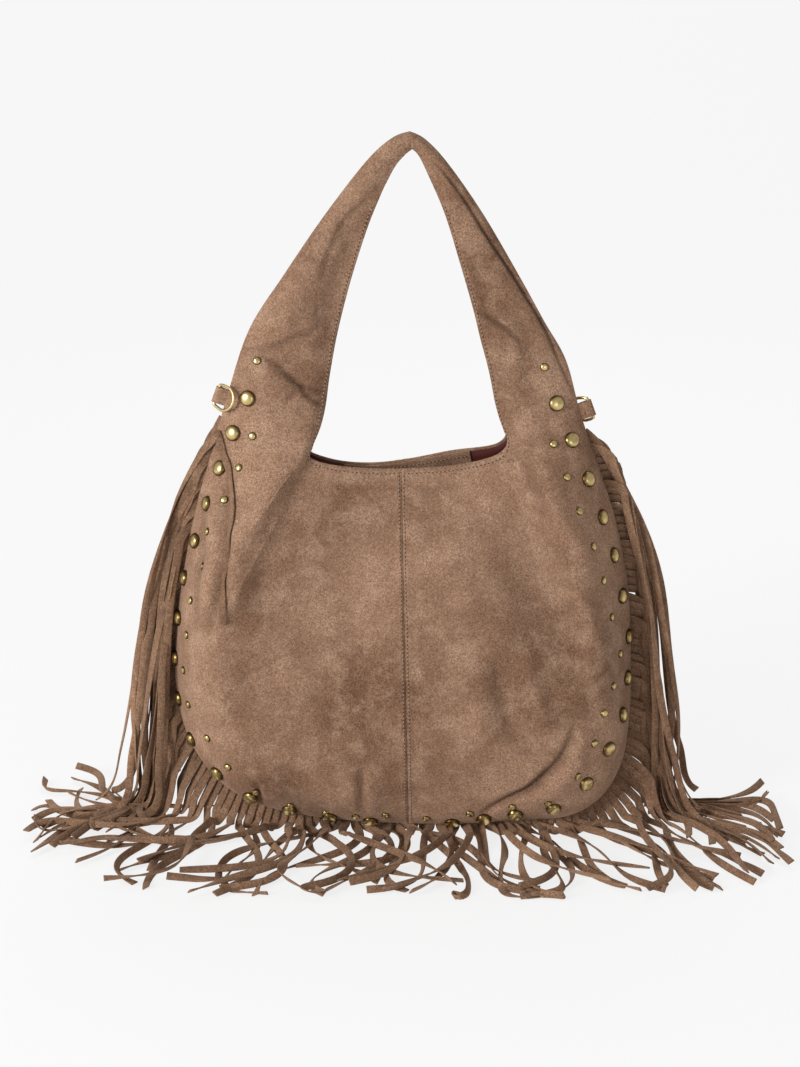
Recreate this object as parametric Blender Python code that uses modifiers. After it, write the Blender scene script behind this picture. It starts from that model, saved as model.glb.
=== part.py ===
"""Fringed suede hobo bag.

Four suede panels run up into a two-ply strap. Inside hang a lining and two facing strips.
The seam from one ring tab, round the bottom, to the other tab carries the fringe, and
a row of large studs follows it on the front.
Frame: metres, +X to the bag's right as seen from the front, -Y to the front, +Z up.
The origin is on the flat base, under the middle of the bag.
"""

import math

import bmesh
import bpy
import numpy as np
from mathutils import Vector

MM = 0.001

# Driving dimensions, in millimetres
SUEDE = 1.5                 # panel thickness
LINING = 0.8                # lining thickness
LINING_BACK = 32.0          # furthest the lining reaches behind the seam plane
LINING_SLACK = 9.5          # how much further in the lining hangs towards the bottom seam
TRIM = 1.2                  # thickness of the tabs and facing strips
GAP = 0.4                   # clearance between sewn neighbours
SEAM_GAP = 1.0              # clearance between the two halves at a centre seam
PLY_OFFSET = 1.8            # from the seam plane to a panel's outer face, along every sewn edge
RIM_FRONT = 12.0            # how far the front rim stands forward of the seam plane
RIM_BACK = 14.0             # how far the back rim stands behind it
RIM_CLOSED_Z = 340.0        # above this height the front and back plies meet at the strap's inner edge
RIM_OPEN_Z = 304.0          # below this height they stand fully apart
FACING_DEPTH = 24.0         # height of the facing strips
SECTION_RUN = 285.0         # length of a section near the middle, from the bottom seam to the rim
# Where the facing strips end, as shares of a panel's length
FACING_ENDS = {"left": 3.0 / 17, "right": 2.8 / 18}
# Where the lining is closed, at the foot of the strap
LINING_ENDS = {"left": 8 / 17, "right": 7 / 18}
LINING_START = 0.01         # share of a panel's length where each half of the lining and facing starts
LINING_SPAN = (0.06, 0.985) # shares of a section between which the lining runs
STUD_RADIUS = 6.3
STUD_HEIGHT = 3.4
STUD_RIM = 0.5              # height of the stud's straight rim
STUD_LIFT = 0.9             # from the panel's face to the stud's back
STUDS_PER_SIDE = 15
RING_WIRE = 1.15            # radius of the ring's wire
RING_BOW = 9.4              # radius of the ring's round end, on the wire's centre line
RING_LEG = 7.4              # from the bar to the centre of the round end
RING_BAR = 8.0              # half the bar's length
TAB_WIDTH = 12.5
TAB_ROOT = 7.0              # from the bar to the tab's sewn end
BAR_TILT = math.radians(20.0)
RING_REST = math.radians(38.0)   # angle between the seam plane and a ring that rests on a panel

# Sections across each half: a point of the sewn outer edge (x, y, z), and the point
# (x, z) of the rim or of the strap's inner edge that it is joined to. They run from
# the middle of the bottom, round the corner, up the side and to the strap's top.
LEFT = (
    ((0, -30, 5), (0, 290)),
    ((-45, -30, 8), (-20, 290)),
    ((-92, -30, 15), (-38, 291)),
    ((-128, -28, 27), (-52, 292.5)),
    ((-155, -19, 47), (-62, 294.5)),
    ((-174, -6, 77), (-68, 296.5)),
    ((-181, 0, 118), (-72, 299)),
    ((-179, 0, 165), (-71, 304)),
    ((-171, 0, 212), (-68, 310)),
    ((-161, 0, 258), (-64, 320)),
    ((-147, 0, 305), (-60, 337)),
    ((-135.5, 0, 345), (-56.5, 362)),
    ((-118, 0, 396), (-50, 396)),
    ((-91, 0, 438), (-39, 438)),
    ((-60, 0, 483), (-24, 483)),
    ((-28, 0, 524), (-9, 516)),
    ((-9, 0, 541), (0, 528)),
    ((3.5, 0, 546), (5.5, 533)),
)
RIGHT = (
    ((0, -30, 5), (0, 290)),
    ((48, -30, 5), (22, 291)),
    ((92, -30, 8), (40, 293)),
    ((130, -29, 11), (54, 295.5)),
    ((156, -22, 24), (65, 298.5)),
    ((173, -10, 48), (73, 302)),
    ((179.5, -1, 85), (78, 307)),
    ((179.5, 0, 135), (79, 313)),
    ((176, 0, 190), (77, 320)),
    ((165, 0, 245), (73, 331)),
    ((151, 0, 288), (69, 347)),
    ((136, 0, 330), (64.5, 366)),
    ((124, 0, 372), (58, 390)),
    ((107, 0, 402), (52.5, 412)),
    ((88, 0, 436), (45, 438)),
    ((60, 0, 483.5), (31, 483.5)),
    ((33, 0, 522), (17, 516)),
    ((16, 0, 540), (11, 528)),
    ((4.5, 0, 546), (6.5, 533)),
)
FRONT_SEAM = (4.0, -2.0)    # x of the front centre seam, at the bottom and at the rim
BACK_SEAM = (-4.0, -2.0)

# How far a panel bellies out from its sewn edge, by the height of that edge
BELLY_Z = (5, 30, 60, 110, 180, 250, 300, 345, 430, 546)
BELLY_FRONT = (30, 36, 44, 50, 44, 26, 14, 9, 6, 4)
BELLY_BACK = (78, 74, 64, 50, 43, 26, 14, 9, 6, 4)
ROUNDNESS = (0.55, 0.57, 0.62, 0.74, 0.84, 0.86, 0.86, 0.86, 0.8, 0.8)
BACK_RIM_LIFT = 5.5         # the back rim stands this much higher right of the middle
BACK_RIM_DIP = 2.5          # and this much lower left of it
RIM_WAVE_X = 50.0           # how far from the middle the lift and the dip are greatest
RIM_WAVE_SPAN = 22.0        # how wide they are
SAG = 80.0                  # how far the back panel sinks under the bag, before the floor stops it
SAG_TOP_Z = 95.0            # the sag has died out on sections that start above this height
SAG_SPAN = 0.45             # share of a section that sags

# Stations of each row of large studs: the stud's number, how far down the seam from the ring's
# bar it sits, and how far in from the seam. The studs between them are spaced evenly.
STUD_ROWS = {
    "left": (
        (1, 3, 19), (3, 60, 13), (4, 91, 16), (6, 151, 9.5), (9, 250, 9.5),
        (10, 284, 14), (11, 319, 17), (13, 385, 13), (15, 450, 10),
    ),
    "right": (
        (1, 1, 23), (3, 69, 29), (5, 128, 23), (7, 190, 10), (8, 226, 18), (9, 261, 32),
        (10, 299, 46), (11, 332, 38), (12, 364, 25), (13, 396, 17), (15, 447, 10),
    ),
}

SECTIONS_LONG = 30          # facets along a panel
SECTIONS_WIDE = 9           # facets across it
CROWDING = 0.52             # below 1, the facets across a panel crowd towards its sewn edge
STRAP_END_LEFT = 0.999      # the left half stops this far along, to leave the gap at the strap's top

# Middle of each ring's bar (x, z), and which side of the bag it is on
TABS = {
    "left": ((-143.2, 345.5), -1),
    "right": ((143.2, 335.0), 1),
}


def smooth(x):
    """Smooth step from 0 to 1."""
    x = np.clip(x, 0.0, 1.0)
    return x * x * (3.0 - 2.0 * x)


def curve_through(points, u):
    """Catmull-Rom curve through the points, at u from 0 to 1."""
    points = np.asarray(points, float)
    last = len(points) - 1
    place = np.clip(np.asarray(u, float), 0.0, 1.0) * last
    i = np.minimum(place.astype(int), last - 1)
    f = (place - i)[..., None]
    p0 = points[np.maximum(i - 1, 0)]
    p1 = points[i]
    p2 = points[i + 1]
    p3 = points[np.minimum(i + 2, last)]
    bend = 2.0 * p0 - 5.0 * p1 + 4.0 * p2 - p3
    twist = 3.0 * (p1 - p2) + p3 - p0
    return p1 + 0.5 * f * (p2 - p0 + f * (bend + f * twist))


def rim_wave(x):
    """Height of the back rim above the front rim, by x."""
    lift = BACK_RIM_LIFT * np.exp(-(((x - RIM_WAVE_X) / RIM_WAVE_SPAN) ** 2))
    dip = BACK_RIM_DIP * np.exp(-(((x + RIM_WAVE_X) / RIM_WAVE_SPAN) ** 2))
    return lift - dip


def seamed(sections, seam, hand):
    """A side's sections, with the first one moved to its centre seam and both ends cut back by the gap."""
    outer = [list(section[0]) for section in sections]
    inner = [list(section[1]) for section in sections]
    outer[0][0] = seam[0] + hand * SEAM_GAP / 2
    inner[0][0] = seam[1] + hand * SEAM_GAP / 2
    return outer, inner


def panel_points(side, face, u, v):
    """Outer surface of a panel at u along it and v across it (0 at the sewn edge), in millimetres."""
    sections, hand = (LEFT, -1) if side == "left" else (RIGHT, 1)
    seam = FRONT_SEAM if face == "front" else BACK_SEAM
    outer, inner = seamed(sections, seam, hand)
    sewn = curve_through(outer, u)
    rim = curve_through(inner, u)
    height = sewn[..., 2]
    out = -1.0 if face == "front" else 1.0
    apart = 1.0 - smooth((rim[..., 1] - RIM_OPEN_Z) / (RIM_CLOSED_Z - RIM_OPEN_Z))
    rim_depth = RIM_FRONT if face == "front" else RIM_BACK
    rim_y = out * (PLY_OFFSET + (rim_depth - PLY_OFFSET) * apart)
    belly = np.interp(height, BELLY_Z, BELLY_FRONT if face == "front" else BELLY_BACK)
    power = np.interp(height, BELLY_Z, ROUNDNESS)
    sewn_y = sewn[..., 1] + out * PLY_OFFSET
    x = sewn[..., 0] + (rim[..., 0] - sewn[..., 0]) * v
    y = sewn_y + (rim_y - sewn_y) * v + out * belly * np.sin(np.pi * v ** power)
    z = height + (rim[..., 1] - height) * v
    if face == "back":
        low = 1.0 - smooth(height / SAG_TOP_Z)
        sag = SAG * low * np.clip(1.0 - v / SAG_SPAN, 0.0, 1.0) ** 2 * smooth(v / 0.03)
        z = np.maximum(z - sag, 0.0) + rim_wave(rim[..., 0]) * apart * v ** 8
    return np.stack([x, y, z], axis=-1)


def panel_normals(side, face, u, v):
    """Outward unit normals of a panel's outer surface."""
    step = 1e-4
    u_low, u_high = np.maximum(u - step, 0.0), np.minimum(u + step, 1.0)
    v_low, v_high = np.maximum(v - step, 1e-6), np.minimum(v + step, 1.0)
    along = panel_points(side, face, u_high, v) - panel_points(side, face, u_low, v)
    across = panel_points(side, face, u, v_high) - panel_points(side, face, u, v_low)
    normal = np.cross(along, across)
    normal /= np.linalg.norm(normal, axis=-1, keepdims=True)
    outward = -1.0 if face == "front" else 1.0
    hand = 1.0 if side == "right" else -1.0
    return normal * -outward * hand


def panel_grid(side, face, u_range=(0.0, 1.0), v_range=(0.0, 1.0), inset=0.0, slack=0.0, counts=None):
    """Grid of points on a panel, or inset millimetres inside it, and by slack more towards the sewn edge.

    The facets crowd towards the sewn edge.
    """
    long, wide = counts or (SECTIONS_LONG, SECTIONS_WIDE)
    u = np.linspace(u_range[0], u_range[1], long + 1)
    v = np.linspace(v_range[0] ** CROWDING, v_range[1] ** CROWDING, wide + 1) ** (1 / CROWDING)
    uu, vv = np.meshgrid(u, v, indexing="ij")
    points = panel_points(side, face, uu, vv)
    if inset:
        depth = (inset + slack * (1.0 - vv) ** 2)[..., None]
        points = points - depth * panel_normals(side, face, uu, np.clip(vv, 0.002, 0.999))
    return points


def material(name, colour, roughness, metallic=0.0):
    """Principled material with a plain colour."""
    made = bpy.data.materials.new(name)
    made.use_nodes = True
    shader = made.node_tree.nodes["Principled BSDF"]
    shader.inputs["Base Color"].default_value = (*colour, 1.0)
    shader.inputs["Roughness"].default_value = roughness
    shader.inputs["Metallic"].default_value = metallic
    return made


def add_object(name, mesh_or_curve, finish, collection):
    """Put a mesh or curve in the collection, as a named object with its material."""
    made = bpy.data.objects.new(name, mesh_or_curve)
    mesh_or_curve.materials.append(finish)
    collection.objects.link(made)
    return made


def mesh_from(name, vertices, faces, outward=None):
    """Smooth-shaded mesh from millimetre points, with its faces turned towards `outward` if that is given."""
    mesh = bpy.data.meshes.new(name)
    mesh.from_pydata([Vector(p) * MM for p in vertices], [], faces)
    mesh.update()
    bm = bmesh.new()
    bm.from_mesh(mesh)
    bmesh.ops.remove_doubles(bm, verts=bm.verts, dist=1e-6)
    bmesh.ops.recalc_face_normals(bm, faces=bm.faces)
    if outward is not None:
        total = sum((face.normal * face.calc_area() for face in bm.faces), Vector())
        if total.dot(Vector(outward)) < 0.0:
            bmesh.ops.reverse_faces(bm, faces=bm.faces)
    bm.to_mesh(mesh)
    bm.free()
    mesh.shade_smooth()
    return mesh


def grid_faces(rows, columns, first=0):
    """Quads of a rows x columns grid of vertices."""
    faces = []
    for i in range(rows - 1):
        for j in range(columns - 1):
            a = first + i * columns + j
            faces.append((a, a + 1, a + columns + 1, a + columns))
    return faces


def solidify(thing, thickness, offset):
    """Give an open surface its wall."""
    wall = thing.modifiers.new("wall", "SOLIDIFY")
    wall.thickness = thickness * MM
    wall.offset = offset
    wall.use_even_offset = False
    return wall


def sheet(name, points, thickness, outward, finish, collection):
    """A sheet with its outer face on a grid of points and its thickness inside it."""
    rows, columns = points.shape[:2]
    mesh = mesh_from(name, points.reshape(-1, 3).tolist(), grid_faces(rows, columns), outward)
    made = add_object(name, mesh, finish, collection)
    solidify(made, thickness, -1.0)
    return made


def make_panels(finish, collection):
    """The four suede panels, each running up into its quarter of the strap."""
    for face, outward in (("front", (0, -1, 0)), ("back", (0, 1, 0))):
        for side in ("left", "right"):
            end = 1.0 if side == "right" else STRAP_END_LEFT
            points = panel_grid(side, face, u_range=(0.0, end))
            sheet(f"{face}_panel_{side}", points, SUEDE, outward, finish, collection)


def make_lining(finish, collection):
    """One pouch inside the panels, open at the rim and closed where the strap begins."""
    depth = SUEDE + 3 * GAP
    rows = {}
    for face in ("front", "back"):
        halves = []
        for side in ("left", "right"):
            along = (LINING_START, LINING_ENDS[side])
            halves.append(panel_grid(side, face, along, LINING_SPAN, depth, LINING_SLACK, (14, 10)))
        rows[face] = np.concatenate([halves[0][::-1], halves[1]])
    front, back = rows["front"], rows["back"]
    count, columns = front.shape[:2]
    back[:, 0] = front[:, 0]
    back[..., 1] = np.minimum(back[..., 1], LINING_BACK)
    vertices = np.concatenate([front.reshape(-1, 3), back.reshape(-1, 3)]).tolist()
    start = count * columns
    faces = grid_faces(count, columns) + grid_faces(count, columns, start)
    for row in (0, count - 1):
        for j in range(columns - 1):
            a = row * columns + j
            faces.append((a, a + 1, start + a + 1, start + a))
    mesh = mesh_from("lining", vertices, faces)
    made = add_object("lining", mesh, finish, collection)
    solidify(made, LINING, -1.0)


def make_facings(finish, collection):
    """A suede strip inside each rim, over the lining."""
    depth = SUEDE + 4 * GAP + LINING
    for face, outward in (("front", (0, -1, 0)), ("back", (0, 1, 0))):
        parts = []
        for side in ("left", "right"):
            along = (LINING_START, FACING_ENDS[side])
            across = (1.0 - FACING_DEPTH / SECTION_RUN, 0.99)
            parts.append(panel_grid(side, face, along, across, depth, 0.0, (5, 2)))
        points = np.concatenate([parts[0][::-1], parts[1]])
        sheet(f"{face}_facing", points, TRIM, outward, finish, collection)


def bar_axes(side):
    """Middle of a ring's bar, its direction up the bar, and the direction away from the bag."""
    (x, z), hand = TABS[side]
    up = Vector((-hand * math.sin(BAR_TILT), 0.0, math.cos(BAR_TILT)))
    out = Vector((hand * math.cos(BAR_TILT), 0.0, math.sin(BAR_TILT)))
    return Vector((x, 0.0, z)), up, out


def make_tab(side, finish, collection):
    """Strip of suede folded round the ring's bar and sewn into the side seam."""
    middle, up, out = bar_axes(side)
    bend = RING_WIRE + 0.3 + TRIM / 2
    path = [(-TAB_ROOT, -0.85), (-TAB_ROOT / 2, -1.4)]
    for step in range(9):
        angle = math.pi * (step / 8 - 0.5)
        path.append((bend * math.cos(angle), bend * math.sin(angle)))
    path += [(-TAB_ROOT / 2, 1.4), (-TAB_ROOT, 0.85)]
    vertices = []
    for reach, depth in path:
        for edge in (-TAB_WIDTH / 2, TAB_WIDTH / 2):
            point = middle + out * reach + up * edge + Vector((0.0, depth, 0.0))
            vertices.append(point)
    mesh = mesh_from(f"tab_{side}", vertices, grid_faces(len(path), 2))
    made = add_object(f"tab_{side}", mesh, finish, collection)
    solidify(made, TRIM, 0.0)


def make_ring(side, finish, collection):
    """D-ring of round wire, its origin on its bar, lying against the front (left) or the back (right)."""
    middle, up, out = bar_axes(side)
    lean = -1.0 if side == "left" else 1.0
    reach = -out * math.cos(RING_REST) + Vector((0.0, lean * math.sin(RING_REST), 0.0))
    outline = [(-RING_BAR, 0.0), (-RING_BAR / 3, 0.0), (RING_BAR / 3, 0.0), (RING_BAR, 0.0)]
    outline.append((RING_BAR + 0.6 * (RING_BOW - RING_BAR), RING_LEG * 0.35))
    for step in range(13):
        angle = math.pi * step / 12
        outline.append((RING_BOW * math.cos(angle), RING_LEG + RING_BOW * math.sin(angle)))
    outline.append((-RING_BAR - 0.6 * (RING_BOW - RING_BAR), RING_LEG * 0.35))
    wire = bpy.data.curves.new(f"d_ring_{side}", "CURVE")
    wire.dimensions = "3D"
    wire.bevel_depth = RING_WIRE * MM
    wire.bevel_resolution = 2
    spline = wire.splines.new("POLY")
    spline.points.add(len(outline) - 1)
    spline.use_cyclic_u = True
    for point, (along, away) in zip(spline.points, outline):
        point.co = (*((up * along + reach * away) * MM), 1.0)
    made = add_object(f"d_ring_{side}", wire, finish, collection)
    made.location = middle * MM


def seam_walk(side):
    """The sewn edge as fine steps: u, and the distance from the tab's middle down the seam."""
    u = np.linspace(0.0, 0.75, 3001)
    edge = panel_points(side, "front", u, np.zeros_like(u))
    length = np.concatenate([[0.0], np.cumsum(np.linalg.norm(np.diff(edge, axis=0), axis=1))])
    (tab_x, tab_z), _ = TABS[side]
    at_tab = np.argmin(np.hypot(edge[:, 0] - tab_x, edge[:, 2] - tab_z))
    return u, length[at_tab] - length


def on_front(side, distance, inset):
    """Point and normal on the front panel, by distance down the seam from the tab and inset from the seam."""
    u_steps, walked = seam_walk(side)
    u = float(np.interp(distance, walked[::-1], u_steps[::-1]))
    v = np.linspace(0.0, 0.5, 2001)
    section = panel_points(side, "front", np.full_like(v, u), v)
    length = np.concatenate([[0.0], np.cumsum(np.linalg.norm(np.diff(section, axis=0), axis=1))])
    v_at = np.array([np.interp(inset, length, v)])
    u_at = np.array([u])
    return panel_points(side, "front", u_at, v_at)[0], panel_normals(side, "front", u_at, v_at)[0]


def stud_profile():
    """Half outline of a domed stud, from the top of its dome down the outer side to its flat back."""
    profile = []
    for step in range(4, 0, -1):
        angle = math.pi / 2 * step / 4
        rise = STUD_RIM + (STUD_HEIGHT - STUD_RIM) * math.sin(angle)
        profile.append((STUD_RADIUS * math.cos(angle) if step < 4 else 0.0, rise))
    profile += [(STUD_RADIUS, STUD_RIM), (STUD_RADIUS, 0.0), (0.0, 0.0)]
    mesh = bpy.data.meshes.new("stud")
    points = [(radius * MM, 0.0, height * MM) for radius, height in profile]
    mesh.from_pydata(points, [(i, i + 1) for i in range(len(points) - 1)], [])
    return mesh


def make_studs(finish, collection):
    """The row of large studs down each side of the front and along its bottom."""
    outline = stud_profile()
    outline.materials.append(finish)
    for side, stations in STUD_ROWS.items():
        at_number, at_distance, at_inset = zip(*stations)
        for number in range(1, STUDS_PER_SIDE + 1):
            distance = np.interp(number, at_number, at_distance)
            inset = np.interp(number, at_number, at_inset)
            place, normal = on_front(side, distance, inset)
            made = bpy.data.objects.new(f"stud_{side}_{number:02d}", outline)
            made.location = (Vector(place) + Vector(normal) * STUD_LIFT) * MM
            made.rotation_mode = "QUATERNION"
            made.rotation_quaternion = Vector(normal).to_track_quat("Z", "Y")
            collection.objects.link(made)
            turned = made.modifiers.new("turned", "SCREW")
            turned.steps = 12
            turned.render_steps = 12
            turned.use_merge_vertices = True
            turned.merge_threshold = 0.00001
            turned.use_smooth_shade = True


def loft(name, rings, finish, collection):
    """Closed solid through a stack of rings that have the same number of points."""
    count = len(rings[0])
    vertices = [point for ring in rings for point in ring]
    faces = [tuple(range(count)), tuple(range((len(rings) - 1) * count, len(rings) * count))]
    for level in range(len(rings) - 1):
        for i in range(count):
            j = (i + 1) % count
            base = level * count
            faces.append((base + i, base + j, base + count + j, base + count + i))
    mesh = mesh_from(name, vertices, faces)
    add_object(name, mesh, finish, collection)


def make_side_fringe(side, finish, collection):
    """Outer shape of the strands that hang from a side seam and splay out on the floor."""
    hand = -1 if side == "left" else 1
    levels = (                      # height, inner x, outer x, reach to the front, reach to the back
        (0.3, 184, 302, 112, 84),
        (14, 184, 288, 98, 74),
        (40, 184, 246, 66, 52),
        (80, 188, 222, 44, 36),
        (140, 188, 210, 32, 28),
        (210, 183, 198, 22, 20),
        (270, 163.5, 180, 14, 13),
        (308, 152, 164, 7, 7),
    )
    rings = []
    for height, inner, outer, front, back in levels:
        near, far = hand * inner, hand * outer
        middle = (near + 2 * far) / 3
        rings.append([
            (near, -front * 0.7, height), (middle, -front, height), (far, -front * 0.5, height),
            (far, back * 0.5, height), (middle, back, height), (near, back * 0.7, height),
        ])
    loft(f"fringe_{side}", rings, finish, collection)


def make_base_fringe(finish, collection):
    """Outer shape of the strands that run out over the floor in front of the bag."""
    rings = []
    for x, reach in ((-183, 118), (-120, 132), (-40, 130), (60, 160), (140, 168), (183, 150)):
        rings.append([
            (x, -33, 0.3), (x, -33, 2.2), (x, -54, 2.6), (x, -74, 12), (x, -0.72 * reach - 30, 12),
            (x, -reach, 5), (x, -reach, 0.3),
        ])
    loft("fringe_base", rings, finish, collection)


def main():
    """Clear the scene and build the bag."""
    for old in list(bpy.data.objects):
        bpy.data.objects.remove(old, do_unlink=True)
    collection = bpy.data.collections.new("fringed_bag")
    bpy.context.scene.collection.children.link(collection)
    suede = material("suede", (0.33, 0.21, 0.14), 0.9)
    fringe_suede = material("fringe_suede", (0.30, 0.18, 0.12), 0.92)
    lining = material("lining_cloth", (0.07, 0.02, 0.025), 0.7)
    brass = material("antique_brass", (0.46, 0.36, 0.16), 0.35, 1.0)
    pale_gold = material("pale_gold", (0.72, 0.66, 0.46), 0.3, 1.0)
    make_panels(suede, collection)
    make_lining(lining, collection)
    make_facings(suede, collection)
    make_studs(brass, collection)
    for side in TABS:
        make_tab(side, suede, collection)
        make_ring(side, pale_gold, collection)
        make_side_fringe(side, fringe_suede, collection)
    make_base_fringe(fringe_suede, collection)


main()
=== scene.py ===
"""Looks of a fringed suede hobo bag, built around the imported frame.

Lengths inside the classes are millimetres in the part's frame: +X right, -Y front, +Z up.
They are turned to metres when a mesh is made.
"""

from __future__ import annotations

import logging
import math
from dataclasses import dataclass
from enum import Enum

import bmesh
import bpy
import numpy as np
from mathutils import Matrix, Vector
from mathutils.bvhtree import BVHTree


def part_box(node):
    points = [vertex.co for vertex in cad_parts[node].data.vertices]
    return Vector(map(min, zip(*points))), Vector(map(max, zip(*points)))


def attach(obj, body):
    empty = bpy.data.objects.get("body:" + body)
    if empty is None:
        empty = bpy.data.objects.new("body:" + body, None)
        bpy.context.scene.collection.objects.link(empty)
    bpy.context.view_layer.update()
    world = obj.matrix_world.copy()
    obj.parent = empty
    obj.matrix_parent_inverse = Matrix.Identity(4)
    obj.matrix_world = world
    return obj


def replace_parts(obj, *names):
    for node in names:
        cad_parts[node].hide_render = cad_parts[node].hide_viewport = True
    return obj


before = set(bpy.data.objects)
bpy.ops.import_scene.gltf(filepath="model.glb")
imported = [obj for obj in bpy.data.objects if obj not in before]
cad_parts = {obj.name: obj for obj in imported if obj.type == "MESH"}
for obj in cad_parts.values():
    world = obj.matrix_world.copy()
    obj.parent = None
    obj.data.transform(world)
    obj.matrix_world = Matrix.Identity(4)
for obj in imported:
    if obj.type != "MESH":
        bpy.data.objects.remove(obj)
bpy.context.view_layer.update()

LOG = logging.getLogger("fringed_bag")
MM = 0.001
BODY = "bag"


class Side(Enum):
    """The bag's two halves, as seen from the front."""

    LEFT = -1
    RIGHT = 1

    @property
    def word(self) -> str:
        """Name of the half, as the nodes spell it."""
        return self.name.lower()


class Face(Enum):
    """The bag's two faces; the value points out of the face along Y."""

    FRONT = -1
    BACK = 1

    @property
    def word(self) -> str:
        """Name of the face, as the nodes spell it."""
        return self.name.lower()


def smooth(x: np.ndarray | float) -> np.ndarray:
    """Smooth step from 0 to 1."""
    x = np.clip(x, 0.0, 1.0)
    return x * x * (3.0 - 2.0 * x)


def curve_through(points: object, u: np.ndarray) -> np.ndarray:
    """Catmull-Rom curve through a list of points.

    Args:
        points: the points, one row each.
        u: places along the curve, from 0 to 1.

    Returns:
        One point for each place.
    """
    points = np.asarray(points, float)
    last = len(points) - 1
    place = np.clip(np.asarray(u, float), 0.0, 1.0) * last
    i = np.minimum(place.astype(int), last - 1)
    f = (place - i)[..., None]
    p0, p1 = points[np.maximum(i - 1, 0)], points[i]
    p2, p3 = points[i + 1], points[np.minimum(i + 2, last)]
    bend = 2.0 * p0 - 5.0 * p1 + 4.0 * p2 - p3
    twist = 3.0 * (p1 - p2) + p3 - p0
    return p1 + 0.5 * f * (p2 - p0 + f * (bend + f * twist))


def unit(v: np.ndarray) -> np.ndarray:
    """Vectors scaled to length 1."""
    return v / np.maximum(np.linalg.norm(v, axis=-1, keepdims=True), 1e-9)


def lengths_along(points: np.ndarray) -> np.ndarray:
    """Distance from the first point of a path to each of its points."""
    steps = np.linalg.norm(np.diff(points, axis=0), axis=1)
    return np.concatenate([[0.0], np.cumsum(steps)])


def to_linear(hex_colour: str) -> tuple[float, float, float, float]:
    """Turn an sRGB hex colour such as "9a7b66" into linear RGBA."""
    parts = [int(hex_colour[i:i + 2], 16) / 255.0 for i in (0, 2, 4)]
    linear = [p / 12.92 if p <= 0.04045 else ((p + 0.055) / 1.055) ** 2.4 for p in parts]
    return (*linear, 1.0)


def add_node(
    tree: bpy.types.NodeTree, kind: str, settings: dict | None = None, links: dict | None = None,
) -> bpy.types.Node:
    """Add a node with its settings and links.

    Args:
        tree: the tree that gets the node.
        kind: the node's type name.
        settings: attributes of the node, or defaults of its inputs where the key is an input.
        links: for each input, the output socket that feeds it.

    Returns:
        The node.
    """
    node = tree.nodes.new(kind)
    for key, value in (settings or {}).items():
        if isinstance(key, int) or key in node.inputs:
            node.inputs[key].default_value = value
        else:
            setattr(node, key, value)
    for key, source in (links or {}).items():
        tree.links.new(source, node.inputs[key])
    return node


def new_material(name: str) -> tuple[bpy.types.Material, bpy.types.NodeTree, bpy.types.Node]:
    """Make an empty node material with its Principled shader and output."""
    material = bpy.data.materials.new(name)
    material.use_nodes = True
    tree = material.node_tree
    tree.nodes.clear()
    shader = tree.nodes.new("ShaderNodeBsdfPrincipled")
    output = tree.nodes.new("ShaderNodeOutputMaterial")
    tree.links.new(shader.outputs["BSDF"], output.inputs["Surface"])
    return material, tree, shader


def mix_colours(tree: bpy.types.NodeTree, factor: object, low: object, high: object) -> bpy.types.NodeSocket:
    """Mix two colours, each given as an sRGB hex colour or as an output socket."""
    settings, links = {"data_type": "RGBA"}, {0: factor}
    for socket, colour in ((6, low), (7, high)):
        if isinstance(colour, str):
            settings[socket] = to_linear(colour)
        else:
            links[socket] = colour
    return add_node(tree, "ShaderNodeMix", settings, links).outputs[2]


def scale_colour(tree: bpy.types.NodeTree, colour: object, factor: object) -> bpy.types.NodeSocket:
    """Make a colour lighter or darker by a factor."""
    node = add_node(tree, "ShaderNodeVectorMath", {"operation": "SCALE"}, {0: colour, "Scale": factor})
    return node.outputs[0]


def remap(
    tree: bpy.types.NodeTree, value: object, start: float, end: float, low: float = 0.0, high: float = 1.0,
) -> bpy.types.NodeSocket:
    """Carry a value from the range `start` to `end` over to the range `low` to `high`."""
    settings = {"From Min": start, "From Max": end, "To Min": low, "To Max": high}
    return add_node(tree, "ShaderNodeMapRange", settings, {"Value": value}).outputs[0]


def add_bump(
    tree: bpy.types.NodeTree, shader: bpy.types.Node, height: object, strength: float, mm: float,
) -> None:
    """Give a shader a bump of so many millimetres."""
    bump = add_node(tree, "ShaderNodeBump", {"Strength": strength, "Distance": mm * MM}, {"Height": height})
    tree.links.new(bump.outputs["Normal"], shader.inputs["Normal"])


def set_inputs(node: bpy.types.Node, values: dict[str, object]) -> None:
    """Set the unlinked inputs of a node."""
    for name, value in values.items():
        node.inputs[name].default_value = value


# ---------------------------------------------------------------- finishes


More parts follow.
